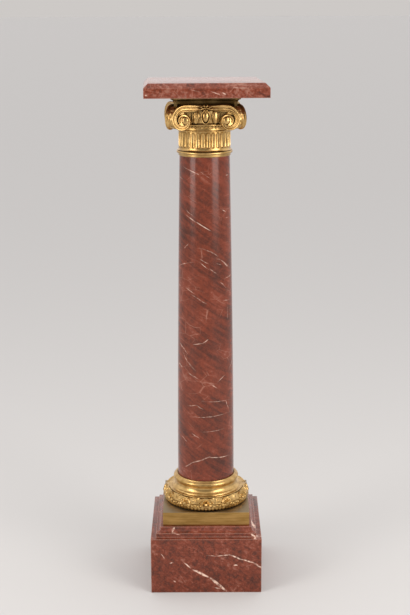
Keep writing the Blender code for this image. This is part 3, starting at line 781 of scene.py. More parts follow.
def make_wreath():
    middle = FOOT_RADIUS - FOOT_BULGE
    inner = middle - FOOT_BULGE
    half = FOOT_HEIGHT / 2
    bay = []
    for step in range(WREATH_STEPS):
        across = (step / WREATH_STEPS - 0.5) * BAY / MM
        levels = [ring / WREATH_RINGS * WREATH_GIRTH / MM for ring in range(WREATH_RINGS + 1)]
        bay.append([wreath_relief(across, level) * WREATH_RELIEF * MM for level in levels])
    rows = []
    for step in range(FANS * WREATH_STEPS):
        turn = (step / WREATH_STEPS - 0.5) * math.tau / FANS
        row = []
        for ring, lift in enumerate(bay[step % WREATH_STEPS]):
            rise = math.pi * (ring / WREATH_RINGS - 0.5)
            normal = Vector((math.cos(rise) * half, math.sin(rise) * FOOT_BULGE)).normalized()
            lift *= min(1.0, math.cos(rise) * 4)
            out = middle + FOOT_BULGE * math.cos(rise) + normal.x * lift
            level = base_low.z + half + half * math.sin(rise) + normal.y * lift
            row.append(Vector((out * math.sin(turn), -out * math.cos(turn), level)))
        for level in (base_low.z + FOOT_HEIGHT, base_low.z):
            row.append(Vector((inner * math.sin(turn), -inner * math.cos(turn), level)))
        rows.append(row)
    bm = bmesh.new()
    add_grid(bm, rows, rows_close=True, points_close=True)
    return smooth(object_from(bm, "base_wreath"), below=60)


hand_over(make_wreath(), gilt_wreath, "base", "gilt_bronze")

# %% [markdown]
# The shaft is one turned and polished stone. It tapers in a slow curve, as ancient shafts do: the
# radius shrinks by a power of the height, so the side looks straight low down and leans in above.

# %% Marble shaft
SHAFT_HEAD_RADIUS = 53.9 * MM
STRAIGHT_LENGTH = 30 * MM
SHAFT_CURVE = 1.5
SHAFT_RINGS = 24
SHAFT_VEINS = [
    (-46, 943, -30, 935, 0.9, 0.6), (-34, 938, -10, 927, 1.2, 0.9), (-14, 938, 14, 918, 0.7, 0.35),
    (-41, 841, -18, 826, 1.1, 0.8), (-22, 829, 14, 807, 1.2, 0.9), (36, 852, 46, 846, 1.3, 0.9),
    (-12, 772, 14, 762, 0.8, 0.6), (10, 765, 28, 752, 0.9, 0.5), (-12, 748, 8, 736, 0.8, 0.6),
    (-12, 741, 10, 722, 0.9, 0.7), (8, 727, 28, 712, 0.9, 0.6), (24, 737, 36, 732, 0.9, 0.7),
    (40, 737, 50, 725, 1.7, 1.0), (-45, 683, -20, 668, 0.9, 0.6), (-30, 668, 4, 648, 1.0, 0.7),
    (38, 653, 54, 651, 1.0, 0.8), (-28, 556, -4, 561, 1.0, 0.7), (-6, 560, 6, 570, 1.1, 0.9),
    (-58, 555, -39, 534, 1.1, 0.8), (-64, 508, -48, 498, 1.6, 0.9), (-41, 492, -15, 479, 1.0, 0.7),
    (9, 470, 26, 457, 1.1, 0.9), (26, 471, 44, 485, 0.9, 0.6), (-40, 414, -20, 419, 1.0, 0.6),
    (-22, 420, -5, 410, 0.8, 0.5), (-10, 429, 60, 424, 0.8, 0.5), (44, 426, 51, 404, 0.9, 0.7),
    (-36, 390, 58, 396, 0.8, 0.5), (-8, 357, 42, 361, 0.8, 0.45), (-32, 353, -14, 342, 1.0, 0.8),
    (-54, 340, -42, 329, 1.1, 0.8), (-48, 268, -30, 283, 1.1, 0.8), (-33, 282, 10, 300, 1.6, 1.0),
    (6, 298, 54, 293, 1.2, 0.9),
]


def shaft_radius(height):
    """The shaft's radius at a height: even along its straight foot, then smaller up to its head."""
    along = height - shaft_low.z
    length = shaft_high.z - shaft_low.z
    taper = max(0.0, along - STRAIGHT_LENGTH) / (length - STRAIGHT_LENGTH)
    return SHAFT_FOOT_RADIUS - (SHAFT_FOOT_RADIUS - SHAFT_HEAD_RADIUS) * taper**SHAFT_CURVE


def make_shaft():
    length = shaft_high.z - shaft_low.z
    levels = [shaft_low.z + length * i / SHAFT_RINGS for i in range(SHAFT_RINGS + 1)]
    return smooth(drawn_up("shaft_marble", [(shaft_radius(level), level) for level in levels], ROUND))


shaft = make_shaft()
shaft_sides = [(0, SHAFT_VEINS)] + unseen_veins(seed=8, count=11, half_width=50, low=260, high=950)
shaft_finish = red_marble(
    "polished_red_marble_shaft",
    (0.07, 0.83, 0.21),
    shaft_sides,
    SHAFT_FOOT_RADIUS,
    threads=0.06,
    pale=-0.005,
    mottled=0.3,
    streaky=0.42,
    faint=0.75,
)
hand_over(shaft, shaft_finish, "shaft", "marble")

# %% [markdown]
# The capital is one casting. Everything round in it is drawn up on a circle: the lip that laps over
# the shaft's head, the collar, the neck, the rings above it and the swelling echinus.

# %% Capital: sizes
HEAD_TURN = math.radians(2.4)
capital_low, capital_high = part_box("capital")
CAPITAL_BOTTOM = capital_low.z
LIP_HEIGHT = 4.6 * MM
COLLAR_RADIUS = 60.2 * MM
COLLAR_BOTTOM = CAPITAL_BOTTOM + LIP_HEIGHT
COLLAR_HEIGHT = 7.0 * MM
FLARE_HEIGHT = 6.6 * MM
NECK_RADIUS = 55.5 * MM
FLUTES = 32
FLUTE_HEIGHT = 33 * MM
FLUTE_DEPTH = 2.5 * MM
FLUTE_SHARE = 0.86
FLUTE_LEAN = 1.2 * MM
SIDES_PER_FLUTE = 8
RIM_BAND_HEIGHT = 4.4 * MM
BEAD_GAP = 4.6 * MM
FLUTE_BOTTOM = COLLAR_BOTTOM + COLLAR_HEIGHT + FLARE_HEIGHT
FLUTE_TOP = FLUTE_BOTTOM + FLUTE_HEIGHT
BAND_TOP = FLUTE_TOP + RIM_BAND_HEIGHT
BEAD_BOTTOM = BAND_TOP + BEAD_GAP
BEAD_HEIGHT = 4.0 * MM
BEAD_RADIUS = 56.8 * MM
BEADS = 48
BEAD_STRETCH = (1.45, 1.1, 1.0)
ASTRAGAL_RADIUS = 58.5 * MM
ASTRAGAL_HEIGHT = 6.0 * MM
ECHINUS_BOTTOM = BEAD_BOTTOM + BEAD_HEIGHT + ASTRAGAL_HEIGHT
ECHINUS_HEIGHT = 26.8 * MM
ECHINUS_TOP = ECHINUS_BOTTOM + ECHINUS_HEIGHT
ECHINUS_RADIUS = 62.0 * MM
ECHINUS_FOOT_RADIUS = NECK_RADIUS + 0.8 * MM
ECHINUS_STEPS = 10
LIP_WALL = 1.6 * MM
LIP_EASE = 0.5 * MM
FLARE_WIDTH = 3.6 * MM
FLARE_STEP = 0.8 * MM
RIM_RADII = (1.5 * MM, 1.8 * MM)
GROOVE_REACH = NECK_RADIUS - 0.6 * MM
BEAD_SEAT = NECK_RADIUS + 0.4 * MM
print(f"flutes from {FLUTE_BOTTOM:.4f} to {FLUTE_TOP:.4f} m, eggs under {ECHINUS_TOP:.4f} m")


# %% Capital: the turned bell
def make_bell():
    bore = SHAFT_HEAD_RADIUS + PLAY
    lip = bore + LIP_WALL
    seat = shaft_high.z + PLAY
    collar_half = COLLAR_HEIGHT / 2
    astragal_half = ASTRAGAL_HEIGHT / 2
    profile = [(bore * 0.5, seat), (bore, seat), (bore, CAPITAL_BOTTOM), (lip - LIP_EASE, CAPITAL_BOTTOM)]
    profile += [(lip, CAPITAL_BOTTOM + LIP_EASE), (lip + 0.3 * MM, COLLAR_BOTTOM - 0.6 * MM)]
    profile += arc((lip, COLLAR_BOTTOM + collar_half), (COLLAR_RADIUS - lip, collar_half), -86, 86, 14)
    flare_centre = (NECK_RADIUS + FLARE_WIDTH, FLUTE_BOTTOM - FLARE_STEP)
    profile += arc(flare_centre, (FLARE_WIDTH, FLARE_HEIGHT * 0.8), 268, 180, 8)
    profile += [(NECK_RADIUS, FLUTE_BOTTOM), (NECK_RADIUS, FLUTE_TOP)]
    profile += [(NECK_RADIUS, BAND_TOP - 2 * RIM_RADII[1])]
    profile += arc((NECK_RADIUS, BAND_TOP - RIM_RADII[1]), RIM_RADII, -80, 80, 6)
    profile += [(NECK_RADIUS - 0.4 * MM, BAND_TOP + 0.8 * MM), (GROOVE_REACH, BEAD_BOTTOM - 0.4 * MM)]
    profile += [(BEAD_SEAT, BEAD_BOTTOM), (BEAD_SEAT, BEAD_BOTTOM + BEAD_HEIGHT)]
    astragal_centre = (NECK_RADIUS, BEAD_BOTTOM + BEAD_HEIGHT + astragal_half)
    profile += arc(astragal_centre, (ASTRAGAL_RADIUS - NECK_RADIUS, astragal_half), -82, 82, 10)
    for i in range(1, ECHINUS_STEPS + 1):
        height = ECHINUS_BOTTOM + ECHINUS_HEIGHT * i / ECHINUS_STEPS
        profile.append((echinus_radius(height), height))
    profile += [(ECHINUS_RADIUS * 0.5, ECHINUS_TOP)]
    return drawn_up("capital_bell", profile, FLUTES * SIDES_PER_FLUTE)


def echinus_radius(height):
    """The echinus swells as a quarter of an ellipse."""
    drop = min(1.0, (ECHINUS_TOP - height) / ECHINUS_HEIGHT)
    return ECHINUS_FOOT_RADIUS + (ECHINUS_RADIUS - ECHINUS_FOOT_RADIUS) * math.sqrt(1 - drop * drop)


# %% [markdown]
# The flutes are cut as a carver's round cutter would: a rod with round ends, copied round the neck,
# is taken away from the bell by one Boolean. Its radius follows from the flute's width and depth.


# %% Capital: the flutes
def cut_flutes(bell):
    """Cuts the flutes with rods whose tops lean in, so that each flute is a little deeper there."""
    half_width = FLUTE_SHARE * math.pi * NECK_RADIUS / FLUTES
    radius = (half_width**2 + FLUTE_DEPTH**2) / (2 * FLUTE_DEPTH)
    low = FLUTE_BOTTOM + half_width
    high = FLUTE_TOP - half_width
    axis = NECK_RADIUS - FLUTE_DEPTH + radius
    deselect_all()
    bpy.ops.mesh.primitive_uv_sphere_add(segments=28, ring_count=16, radius=radius, location=(0, -axis, low))
    rod = bpy.context.active_object
    apply_place(rod)
    bpy.ops.object.mode_set(mode="EDIT")
    select_points(rod, lambda co: co.z > low + radius * 0.1)
    bpy.ops.transform.translate(value=(0, FLUTE_LEAN, high - low))
    bpy.ops.object.mode_set(mode="OBJECT")
    cutter = join(copies_round(rod, FLUTES, first=0.5), "flute_cutter")
    cut = bell.modifiers.new("flutes", "BOOLEAN")
    cut.operation = "DIFFERENCE"
    cut.solver = "EXACT"
    cut.object = cutter
    take_up(bell)
    bpy.ops.object.modifier_apply(modifier=cut.name)
    bpy.data.objects.remove(cutter, do_unlink=True)


def turn_head(piece):
    """The capital and the slab stand turned a little on the shaft."""
    piece.rotation_euler.z = HEAD_TURN
    apply_place(piece)
    return piece


bell = make_bell()
cut_flutes(bell)
turn_head(smooth(bell, below=28))
hand_over(bell, gilt_turned, "capital", "gilt_bronze")


# %% [markdown]
# A row of beads lies in the groove above the neck. One bead is made and copied round.


# %% Capital: the beads
def make_beads():
    radius = BEAD_HEIGHT / 2
    place = (0, -BEAD_RADIUS + radius * 0.3, BEAD_BOTTOM + radius)
    deselect_all()
    bpy.ops.mesh.primitive_uv_sphere_add(segments=12, ring_count=8, radius=radius, location=place)
    bead = bpy.context.active_object
    bpy.ops.transform.resize(value=BEAD_STRETCH)
    apply_place(bead)
    return turn_head(smooth(join(copies_round(bead, BEADS), "capital_beads"), below=60))


hand_over(make_beads(), gilt_turned, "capital", "gilt_bronze")

# %% [markdown]
# Three eggs hang on each side of the echinus, each in a raised shell like a ring, with a broad ribbed
# leaf between two shells. The outer ones pass behind the volutes. Each starts as a ball or a ring
# that is stretched and drawn in below.

# %% Capital: eggs, shells and leaves
# Each with its size, how much its foot is drawn in, and its depth under the echinus's top
EGG = ((13.6 * MM, 9.0 * MM, 23.0 * MM), 0.25, 11.5 * MM)
LEAF = ((18.0 * MM, 8.4 * MM, 28.0 * MM), 0.35, 12.5 * MM)
RIB = ((2.4 * MM, 10.6 * MM, 27.0 * MM), 0.30, 12.0 * MM)
SHELL_HALF_WIDTH = 9.4 * MM
SHELL_HALF_HEIGHT = 13.4 * MM
SHELL_THICKNESS = 1.5 * MM
SHELL_HALF_DEPTH = 3.2 * MM
SHELL_LEAN = math.radians(7)
SHELL_DRAW = 0.12
SHELL_DROP = 13.0 * MM
EGG_TURNS = (-34, 0, 34)
LEAF_TURNS = (-19.5, 19.5)
RIB_PLACES = (-1.5, -0.5, 0.5, 1.5)
RIB_SPACING = 3.7


def stand_on_echinus(piece, drop):
    """Moves a piece from the origin to the echinus's face at a depth under its top."""
    height = ECHINUS_TOP - drop
    piece.location = (0, -echinus_radius(height), height)
    apply_place(piece)
    return piece


def ball(name, size):
    """A ball at the origin, stretched to this width, depth and height."""
    deselect_all()
    bpy.ops.mesh.primitive_uv_sphere_add(segments=24, ring_count=16, radius=0.5)
    piece = bpy.context.active_object
    piece.name = name
    piece.scale = size
    apply_place(piece)
    return piece


def draw_in_foot(piece, share):
    """Narrows a ball towards its foot, ring by ring, as an egg or a leaf narrows."""
    low = min(vert.co.z for vert in piece.data.vertices)
    levels = sorted({round(vert.co.z, 5) for vert in piece.data.vertices if vert.co.z < 0})
    take_up(piece)
    bpy.ops.object.mode_set(mode="EDIT")
    for level in levels:
        select_points(piece, lambda co: abs(co.z - level) < 2e-5)
        narrow = 1 - share * (level / low)
        bpy.ops.transform.resize(value=(narrow, 1, 1), center_override=(0, 0, level))
    bpy.ops.object.mode_set(mode="OBJECT")
    return piece


def hung_ball(size, narrow, drop):
    """An egg, a leaf or a rib in its place on the front of the echinus."""
    return stand_on_echinus(draw_in_foot(ball("ball", size), narrow), drop)


def make_shell():
    """The raised ring round an egg, as a stretched torus."""
    deselect_all()
    bpy.ops.mesh.primitive_torus_add(
        major_segments=40,
        minor_segments=10,
        major_radius=1,
        minor_radius=SHELL_THICKNESS / SHELL_HALF_WIDTH,
        rotation=(math.pi / 2, 0, 0),
    )
    shell = bpy.context.active_object
    apply_place(shell)
    half_depth = SHELL_HALF_DEPTH / SHELL_THICKNESS * SHELL_HALF_WIDTH
    shell.scale = (SHELL_HALF_WIDTH, half_depth, SHELL_HALF_HEIGHT)
    shell.rotation_euler.x = SHELL_LEAN
    apply_place(shell)
    return stand_on_echinus(draw_in_foot(shell, SHELL_DRAW), SHELL_DROP)


def make_eggs():
    ring = []
    for turn in EGG_TURNS:
        ring += copies_round(hung_ball(*EGG), 4, turn / 90) + copies_round(make_shell(), 4, turn / 90)
    for turn in LEAF_TURNS:
        ring += copies_round(hung_ball(*LEAF), 4, turn / 90)
        for place in RIB_PLACES:
            ring += copies_round(hung_ball(*RIB), 4, (turn + place * RIB_SPACING) / 90)
    return turn_head(smooth(join(ring, "capital_eggs"), below=60))


hand_over(make_eggs(), gilt_carved, "capital", "gilt_bronze")

# %% [markdown]
# A volute is a scroll that winds into its eye, and here the band that winds also runs level across
# the side to the other corner. Its outline is an equiangular spiral: each quarter turn is smaller
# by the same ratio. No operator draws that, so the band is swept in mesh code along the spiral,
# with a section of fillets and hollows that shrinks with the radius.

# %% Capital: the line of a volute
EYE_REACH = 47.5 * MM
EYE_HEIGHT = 1043.0 * MM
EYE_RADIUS = 9.8 * MM
ROLL_INSIDE = 7.8 * MM
VOLUTE_RISE = 31.8 * MM
QUARTER_RATIO = 0.80
VOLUTE_TURNS = 1.33
TIP_SHRINK = 0.10
BAND_SHARE = 0.76
RELIEF = 3.6 * MM
FACE_TURN = math.radians(23.2)
CHANNEL_REACH = 62.0 * MM
CHANNEL_HEIGHT = 11.6 * MM
CHANNEL_TOP = ECHINUS_TOP + CHANNEL_HEIGHT
VOLUTE_BEND = EYE_REACH - VOLUTE_RISE * QUARTER_RATIO**3 * math.cos(FACE_TURN)
LEVEL_TURN = math.atan(math.log(QUARTER_RATIO) / (math.pi / 2)) / math.tau
STEPS_PER_TURN = 56
# Places across the band from its outer edge, and how deep each lies, in shares of the relief
BAND_SECTION = (
    (0.0, 1.6), (0.0, 0.50), (0.03, 0.22), (0.09, 0.06), (0.17, 0.0),
    (0.25, 0.06), (0.31, 0.22), (0.36, 0.50), (0.40, 0.66), (0.45, 0.62),
    (0.50, 0.46), (0.57, 0.34), (0.65, 0.32), (0.72, 0.40), (0.77, 0.56),
    (0.80, 0.34), (0.85, 0.14), (0.92, 0.14), (0.98, 0.45), (1.0, 1.6),
)
# Turns at which the band starts to become a plain roll and is one, and the roll's form
ROLL_FROM = 0.50
ROLL_AT = 0.95
ROLL_DEPTH = 1.5
ROLL_RISE = 1.45
ROLL_SHARE = 0.9
CHANNEL_STEPS = 16
EYE_THICKNESS = 1.2 * EYE_RADIUS
EYE_SINK = 0.72 * EYE_RADIUS


def face_reach(across):
    """How far in front of the axis the side's face stands, at a place across it."""
    slope = math.tan(FACE_TURN)
    if abs(across) > VOLUTE_BEND:
        return CHANNEL_REACH + slope * VOLUTE_BEND / 2 + slope * (abs(across) - VOLUTE_BEND)
    return CHANNEL_REACH + slope * across * across / (2 * VOLUTE_BEND)


def on_face(across, height, depth):
    """A point of the front side, depth behind its face."""
    turned = math.atan(math.tan(FACE_TURN) * max(-1.0, min(1.0, across / VOLUTE_BEND)))
    return Vector((across - depth * math.sin(turned), -face_reach(across) + depth * math.cos(turned), height))


def volute_radius(turns):
    """The scroll's outer radius. Its second turn hardly shrinks before it ends beside the eye."""
    first = VOLUTE_RISE * QUARTER_RATIO ** (4 * min(1.0, turns))
    late = max(0.0, turns - 1) / (VOLUTE_TURNS - 1)
    return first * (1 - TIP_SHRINK * late * late)


def volute_point(turns, radius):
    """(across, height) on the right-hand volute, turns after its top and away from the middle."""
    angle = math.tau * turns
    return EYE_REACH + radius * math.sin(angle) * math.cos(FACE_TURN), EYE_HEIGHT + radius * math.cos(angle)


def eased(part):
    """0 below 0 and 1 above 1, with a soft rise between."""
    part = max(0.0, min(1.0, part))
    return part * part * (3 - 2 * part)


def band_stations():
    """(outer edge, inner edge, how far it is a roll) along the band, from the left eye to the right one."""
    plain = 1 - BAND_SHARE * (1 - QUARTER_RATIO**4)
    count = round((VOLUTE_TURNS - LEVEL_TURN) * STEPS_PER_TURN)
    right = []
    for i in range(count + 1):
        turn = LEVEL_TURN + (VOLUTE_TURNS - LEVEL_TURN) * i / count
        radius = volute_radius(turn)
        inner = min(radius * 0.97, max(radius * plain, ROLL_INSIDE))
        roll = eased((turn - ROLL_FROM) / (ROLL_AT - ROLL_FROM))
        right.append((volute_point(turn, radius), volute_point(turn, inner), roll))
    (end, end_top), (_, end_low), _ = right[0]
    channel_low = CHANNEL_TOP - CHANNEL_HEIGHT
    channel = []
    for i in range(CHANNEL_STEPS):
        part = i / CHANNEL_STEPS
        top = CHANNEL_TOP + (end_top - CHANNEL_TOP) * eased(part)
        low = channel_low + (end_low - channel_low) * eased(part)
        channel.append(((end * part, top), (end * part, low), 0.0))
    right = channel + right
    left = [((-outer[0], outer[1]), (-inner[0], inner[1]), roll) for outer, inner, roll in right[:0:-1]]
    return left + right


# %% Capital: the bands and the eyes
def make_volutes():
    rows = []
    for outer, inner, roll in band_stations():
        row = []
        for share, depth in BAND_SECTION:
            round_depth = ROLL_DEPTH - ROLL_RISE * math.sqrt(max(0.0, 1 - (2 * share - 1) ** 2))
            depth += (round_depth - depth) * ROLL_SHARE * roll
            across = outer[0] + (inner[0] - outer[0]) * share
            height = outer[1] + (inner[1] - outer[1]) * share
            row.append(on_face(across, height, depth * RELIEF))
        rows.append(row)
    bm = bmesh.new()
    add_grid(bm, rows, points_close=True)
    pieces = [object_from(bm, "band")]
    for hand in (-1, 1):
        eye = ball("eye", (2 * EYE_RADIUS, EYE_THICKNESS, 2 * EYE_RADIUS))
        eye.rotation_euler.z = hand * FACE_TURN
        eye.location = on_face(hand * EYE_REACH, EYE_HEIGHT, EYE_SINK)
        apply_place(eye)
        pieces.append(eye)
    return turn_head(smooth(join(copies_round(join(pieces, "side"), 4), "capital_volutes"), below=50))


hand_over(make_volutes(), gilt_carved, "capital", "gilt_bronze")

# %% [markdown]
# Between the two faces of a corner, the rim of the scroll is hollow, with a raised border on both
# sides and a chain of husks down its middle. The rim is a grid: round the spiral one way and from
# face to face the other, sunk and raised by a function, and closed behind the two faces.

# %% Capital: the corner scrolls
RIM_STEPS = 150
RIM_ACROSS = 36
RIM_HOLLOW = 3.4 * MM
RIM_BORDER = 2.6 * MM
RIM_SLOPE = 2.2 * MM
BORDER_PLACE = 0.55 * RIM_BORDER
BORDER_WIDTH = 1.2
BORDER_RISE = 0.9 * MM
HUSK_LENGTH = 13.0
HUSK_WIDTH = 1.9
HUSK_RISE = 1.5 * MM
HUSK_SPLAY = 0.75
# How far each of a husk's leaves leans out, and the share of the length that it reaches
HUSK_LEAVES = ((0.0, 1.0), (0.42, 0.86), (-0.42, 0.86))
STEM_WIDTH = 0.25
STEM_SHARE = 0.2
EDGE_INSET = RELIEF * 0.10
EDGE_DEPTH = RELIEF * 0.8
GROOVE_INSET = 1.2 * MM
GROOVE_DEPTH = 5.6 * MM
CORNER = Vector((1, -1, 0)).normalized()


def rim_depth(off_edge, off_middle, along):
    """How far the rim lies under its border, at a place in metres off its edge and middle and along it."""
    inside = (off_edge - RIM_BORDER) / RIM_SLOPE
    sink = RIM_HOLLOW / (1 + math.exp(-4 * inside)) if inside > -2 else 0.0
    border = BORDER_RISE * ridge((off_edge - BORDER_PLACE) / MM, BORDER_WIDTH)
    part = (along / MM / HUSK_LENGTH) % 1
    husk = 0.0
    for lean, reach in HUSK_LEAVES:
        centre = lean * part * HUSK_LENGTH * HUSK_SPLAY
        leafy = part < reach
        width = STEM_WIDTH + (HUSK_WIDTH * math.sin(math.pi * part / reach) if leafy else 0.0)
        husk = max(husk, ridge(off_middle / MM - centre, width) * (1 if leafy else STEM_SHARE))
    return sink - border - husk * HUSK_RISE


def make_corners():
    """The rims of the four corner scrolls, one whole turn of the spiral each."""
    rows = []
    along = 0.0
    before = None
    for i in range(RIM_STEPS):
        turn = LEVEL_TURN + i / RIM_STEPS
        angle = math.tau * turn
        edge = volute_radius(turn) - EDGE_INSET
        front = on_face(*volute_point(turn, edge), EDGE_DEPTH)
        side = Vector((-front.y, -front.x, front.z))
        outward = CORNER * math.sin(angle) + Vector((0, 0, math.cos(angle)))
        middle = (front + side) / 2
        along += (middle - before).length if before else 0.0
        before = middle
        width = (side - front).length
        groove = on_face(*volute_point(turn, edge - GROOVE_INSET), GROOVE_DEPTH)
        row = [groove]
        for j in range(RIM_ACROSS + 1):
            part = j / RIM_ACROSS
            depth = rim_depth(min(part, 1 - part) * width, (part - 0.5) * width, along)
            row.append(front.lerp(side, part) - outward * depth)
        row.append(Vector((-groove.y, -groove.x, groove.z)))
        rows.append(row)
    bm = bmesh.new()
    add_grid(bm, rows, rows_close=True)
    ring = copies_round(object_from(bm, "corner"), 4)
    return turn_head(smooth(join(ring, "capital_corners"), below=50))


hand_over(make_corners(), gilt_carved, "capital", "gilt_bronze")

# %% [markdown]
# Over the volutes lies the abacus, a thin slab with hollow sides and cut corners. Its outline is
# drawn from one curve, four times, and drawn up through a step, a hollow and a fillet. Two plainer
# prisms of the same shape fill the space behind the channels and, set back, under them.

# %% Capital: the abacus
ABACUS_BOTTOM = CHANNEL_TOP + 2.0 * MM
ABACUS_FILLET = 5.8 * MM
ABACUS_REACH = 73.0 * MM
ABACUS_MIDDLE = 61.5 * MM
ABACUS_CUT = 6.3 * MM
ABACUS_STEP = 7.0 * MM
ABACUS_EASE = 0.5 * MM
# Under the hollow and at its foot: (inset, rise) in shares of the step and the hollow's height
ABACUS_FOOT = ((1.0, -0.34), (1.0, 0.10), (0.93, 0.14))
HOLLOW_INSET = 0.78
HOLLOW_RISE = 0.80
HOLLOW_STEPS = 10
SIDE_STEPS = 28
CHANNEL_BACK = RELIEF * 1.3
# (how far behind the channel's face, foot, top) of the two prisms
PRISMS = (
    (CHANNEL_BACK, ECHINUS_TOP - 2 * MM, CHANNEL_TOP - 0.6 * MM),
    (CHANNEL_BACK + 5 * MM, EYE_HEIGHT, ECHINUS_TOP),
)


def hollow_outline(middle, reach, cut, height):
    """A square with hollow sides and cut corners, as a ring of points."""
    end = reach - cut
    points = []
    for side in range(4):
        turned = Matrix.Rotation(side * math.pi / 2, 3, "Z")
        for i in range(SIDE_STEPS + 1):
            across = end * (2 * i / SIDE_STEPS - 1)
            out = middle + (reach - middle) * (across / end) ** 2
            points.append(turned @ Vector((across, -out, height)))
    return points


def make_abacus():
    top = capital_high.z
    fillet = top - ABACUS_FILLET
    hollow = fillet - ABACUS_BOTTOM
    shares = list(ABACUS_FOOT)
    for i in range(1, HOLLOW_STEPS + 1):
        angle = i / HOLLOW_STEPS * math.pi / 2
        inset, rise = ABACUS_FOOT[-1]
        shares.append((inset - HOLLOW_INSET * (1 - math.cos(angle)), rise + HOLLOW_RISE * math.sin(angle)))
    levels = [(ABACUS_STEP * inset, ABACUS_BOTTOM + hollow * rise) for inset, rise in shares]
    levels += [(ABACUS_EASE, fillet), (0.0, fillet + ABACUS_EASE)]
    levels += [(0.0, top - ABACUS_EASE), (ABACUS_EASE, top)]
    rows = []
    for inset, height in levels:
        rows.append(hollow_outline(ABACUS_MIDDLE - inset, ABACUS_REACH - inset, ABACUS_CUT, height))
    bm = bmesh.new()
    add_grid(bm, rows, points_close=True)
    for behind, low, high in PRISMS:
        middle = CHANNEL_REACH - behind
        reach = face_reach(EYE_REACH) - behind
        rows = [hollow_outline(middle, reach, reach - EYE_REACH, height) for height in (low, high)]
        add_grid(bm, rows, points_close=True)
    return turn_head(smooth(object_from(bm, "capital_abacus"), below=35))


# The abacus's finish paints in the shadow of the slab above it
hand_over(make_abacus(), gilt_painted_slab_shadow, "capital", "gilt_bronze")

# %% [markdown]
# A small flower sits at the middle of each side: a ring of petals round a boss, a leaf to each side
# along the channel, and one that hangs over the egg below.

# %% Capital: the flowers
PETALS = 6
FLOWER_HEIGHT = CHANNEL_TOP - CHANNEL_HEIGHT * 0.52
FLOWER_REACH = CHANNEL_REACH + 1.2 * MM
# Length, width, thickness and way out from the flower's middle, in millimetres
BOSS = (4.6, 4.6, 7.0, 0.0)
PETAL = (7.0, 4.4, 5.2, 5.4)
LONG_LEAF = (9.0, 4.0, 4.6, 11.0)
SHORT_LEAF = (7.0, 3.0, 4.2, 10.4)
HANGING_LEAF = (7.0, 3.4, 4.6, 8.0)
LONG_LEAF_TURN = math.radians(97)
SHORT_LEAF_TURN = math.radians(74)


def petal(sizes, turn=0.0):
    """One petal: a flattened ball that lies out from the flower's middle, turned about it."""
    length, width, thick, out = (size * MM for size in sizes)
    piece = ball("petal", (width, thick, length))
    piece.data.transform(Matrix.Translation((0, 0, out)))
    piece.rotation_euler = (0, turn, 0)
    piece.location = (0, -FLOWER_REACH, FLOWER_HEIGHT)
    apply_place(piece)
    return piece


def make_flowers():
    pieces = [petal(BOSS)]
    pieces += [petal(PETAL, (number + 0.5) * math.tau / PETALS) for number in range(PETALS)]
    for hand in (-1, 1):
        pieces += [petal(LONG_LEAF, hand * LONG_LEAF_TURN), petal(SHORT_LEAF, hand * SHORT_LEAF_TURN)]
    pieces.append(petal(HANGING_LEAF, math.pi))
    return turn_head(smooth(join(copies_round(join(pieces, "flower"), 4), "capital_flowers"), below=60))


hand_over(make_flowers(), gilt_carved, "capital", "gilt_bronze")

# %% [markdown]
# The top is a thick slab of the same marble. Its upper edge has a plain chamfer, which is the last
# ring of its profile, and it stands turned with the capital.

# %% Top slab
SLAB_HALF = 128.75 * MM
SLAB_CHAMFER = 9.4 * MM
SLAB_ARRIS = 0.9 * MM
SLAB_VEINS = [
    (-120, 1099, -114, 1098, 1.7, 1.0), (12, 1106, 34, 1098, 1.2, 0.5), (36, 1104, 44, 1099, 1.8, 0.7),
    (-30, 1110, -8, 1104, 1.0, 0.4), (52, 1113, 92, 1112, 0.8, 0.4),
]
slab_low, slab_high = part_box("top_slab")


def make_slab():
    profile = [(SLAB_HALF, slab_low.z), (SLAB_HALF, slab_high.z - SLAB_CHAMFER)]
    profile += [(SLAB_HALF - SLAB_CHAMFER, slab_high.z)]
    slab = drawn_up("top_slab_marble", profile, sides=4)
    round_arrises(slab, SLAB_ARRIS)
    return turn_head(smooth(slab))


slab_sides = [(0, SLAB_VEINS)] + unseen_veins(seed=3, count=3, half_width=110, low=1096, high=1107)
slab_finish = red_marble(
    "polished_red_marble_slab",
    (0.66, 0.42, 0.11),
    slab_sides,
    SLAB_HALF,
    threads=0.14,
    pale=0.08,
    mottled=0.8,
    streaky=0.35,
    faint=0.8,
)
hand_over(make_slab(), slab_finish, "top_slab", "marble")

# %% [markdown]
# The column stands on a plain pale floor that runs off into a pale haze. Gilding and polish show
# what they reflect, so the room matters: two tall soft boxes stand to the left and the right of
# the camera, the room is light behind the column and dim behind the camera.

# %% Floor and room
BACKDROP = colour("#CDC9C6")
FLOOR_TINT = colour("#CBCBCA")
FLOOR_SIZE = 3000.0
FLOOR_ROUGHNESS = 0.9
FLOOR_REFLECTION = 0.2
ROOM_TINT = colour("#F1EDEC")
# How light the room is from behind the camera to behind the column, and from level to overhead
DEPTH_SPAN = (-0.95, 0.1)
DEPTH_LIGHT = (0.25, 1.22)
HEIGHT_SPAN = (0.15, 0.85)
HEIGHT_LIGHT = (0.0, 1.15)


def make_floor():
    deselect_all()
    bpy.ops.mesh.primitive_plane_add(size=FLOOR_SIZE)
    floor = bpy.context.active_object
    floor.name = "studio_floor"
    made, _, shader, _ = new_finish("pale_studio_paper")
    shader.inputs["Base Color"].default_value = FLOOR_TINT
    shader.inputs["Roughness"].default_value = FLOOR_ROUGHNESS
    shader.inputs["Specular IOR Level"].default_value = FLOOR_REFLECTION
    floor.data.materials.append(made)


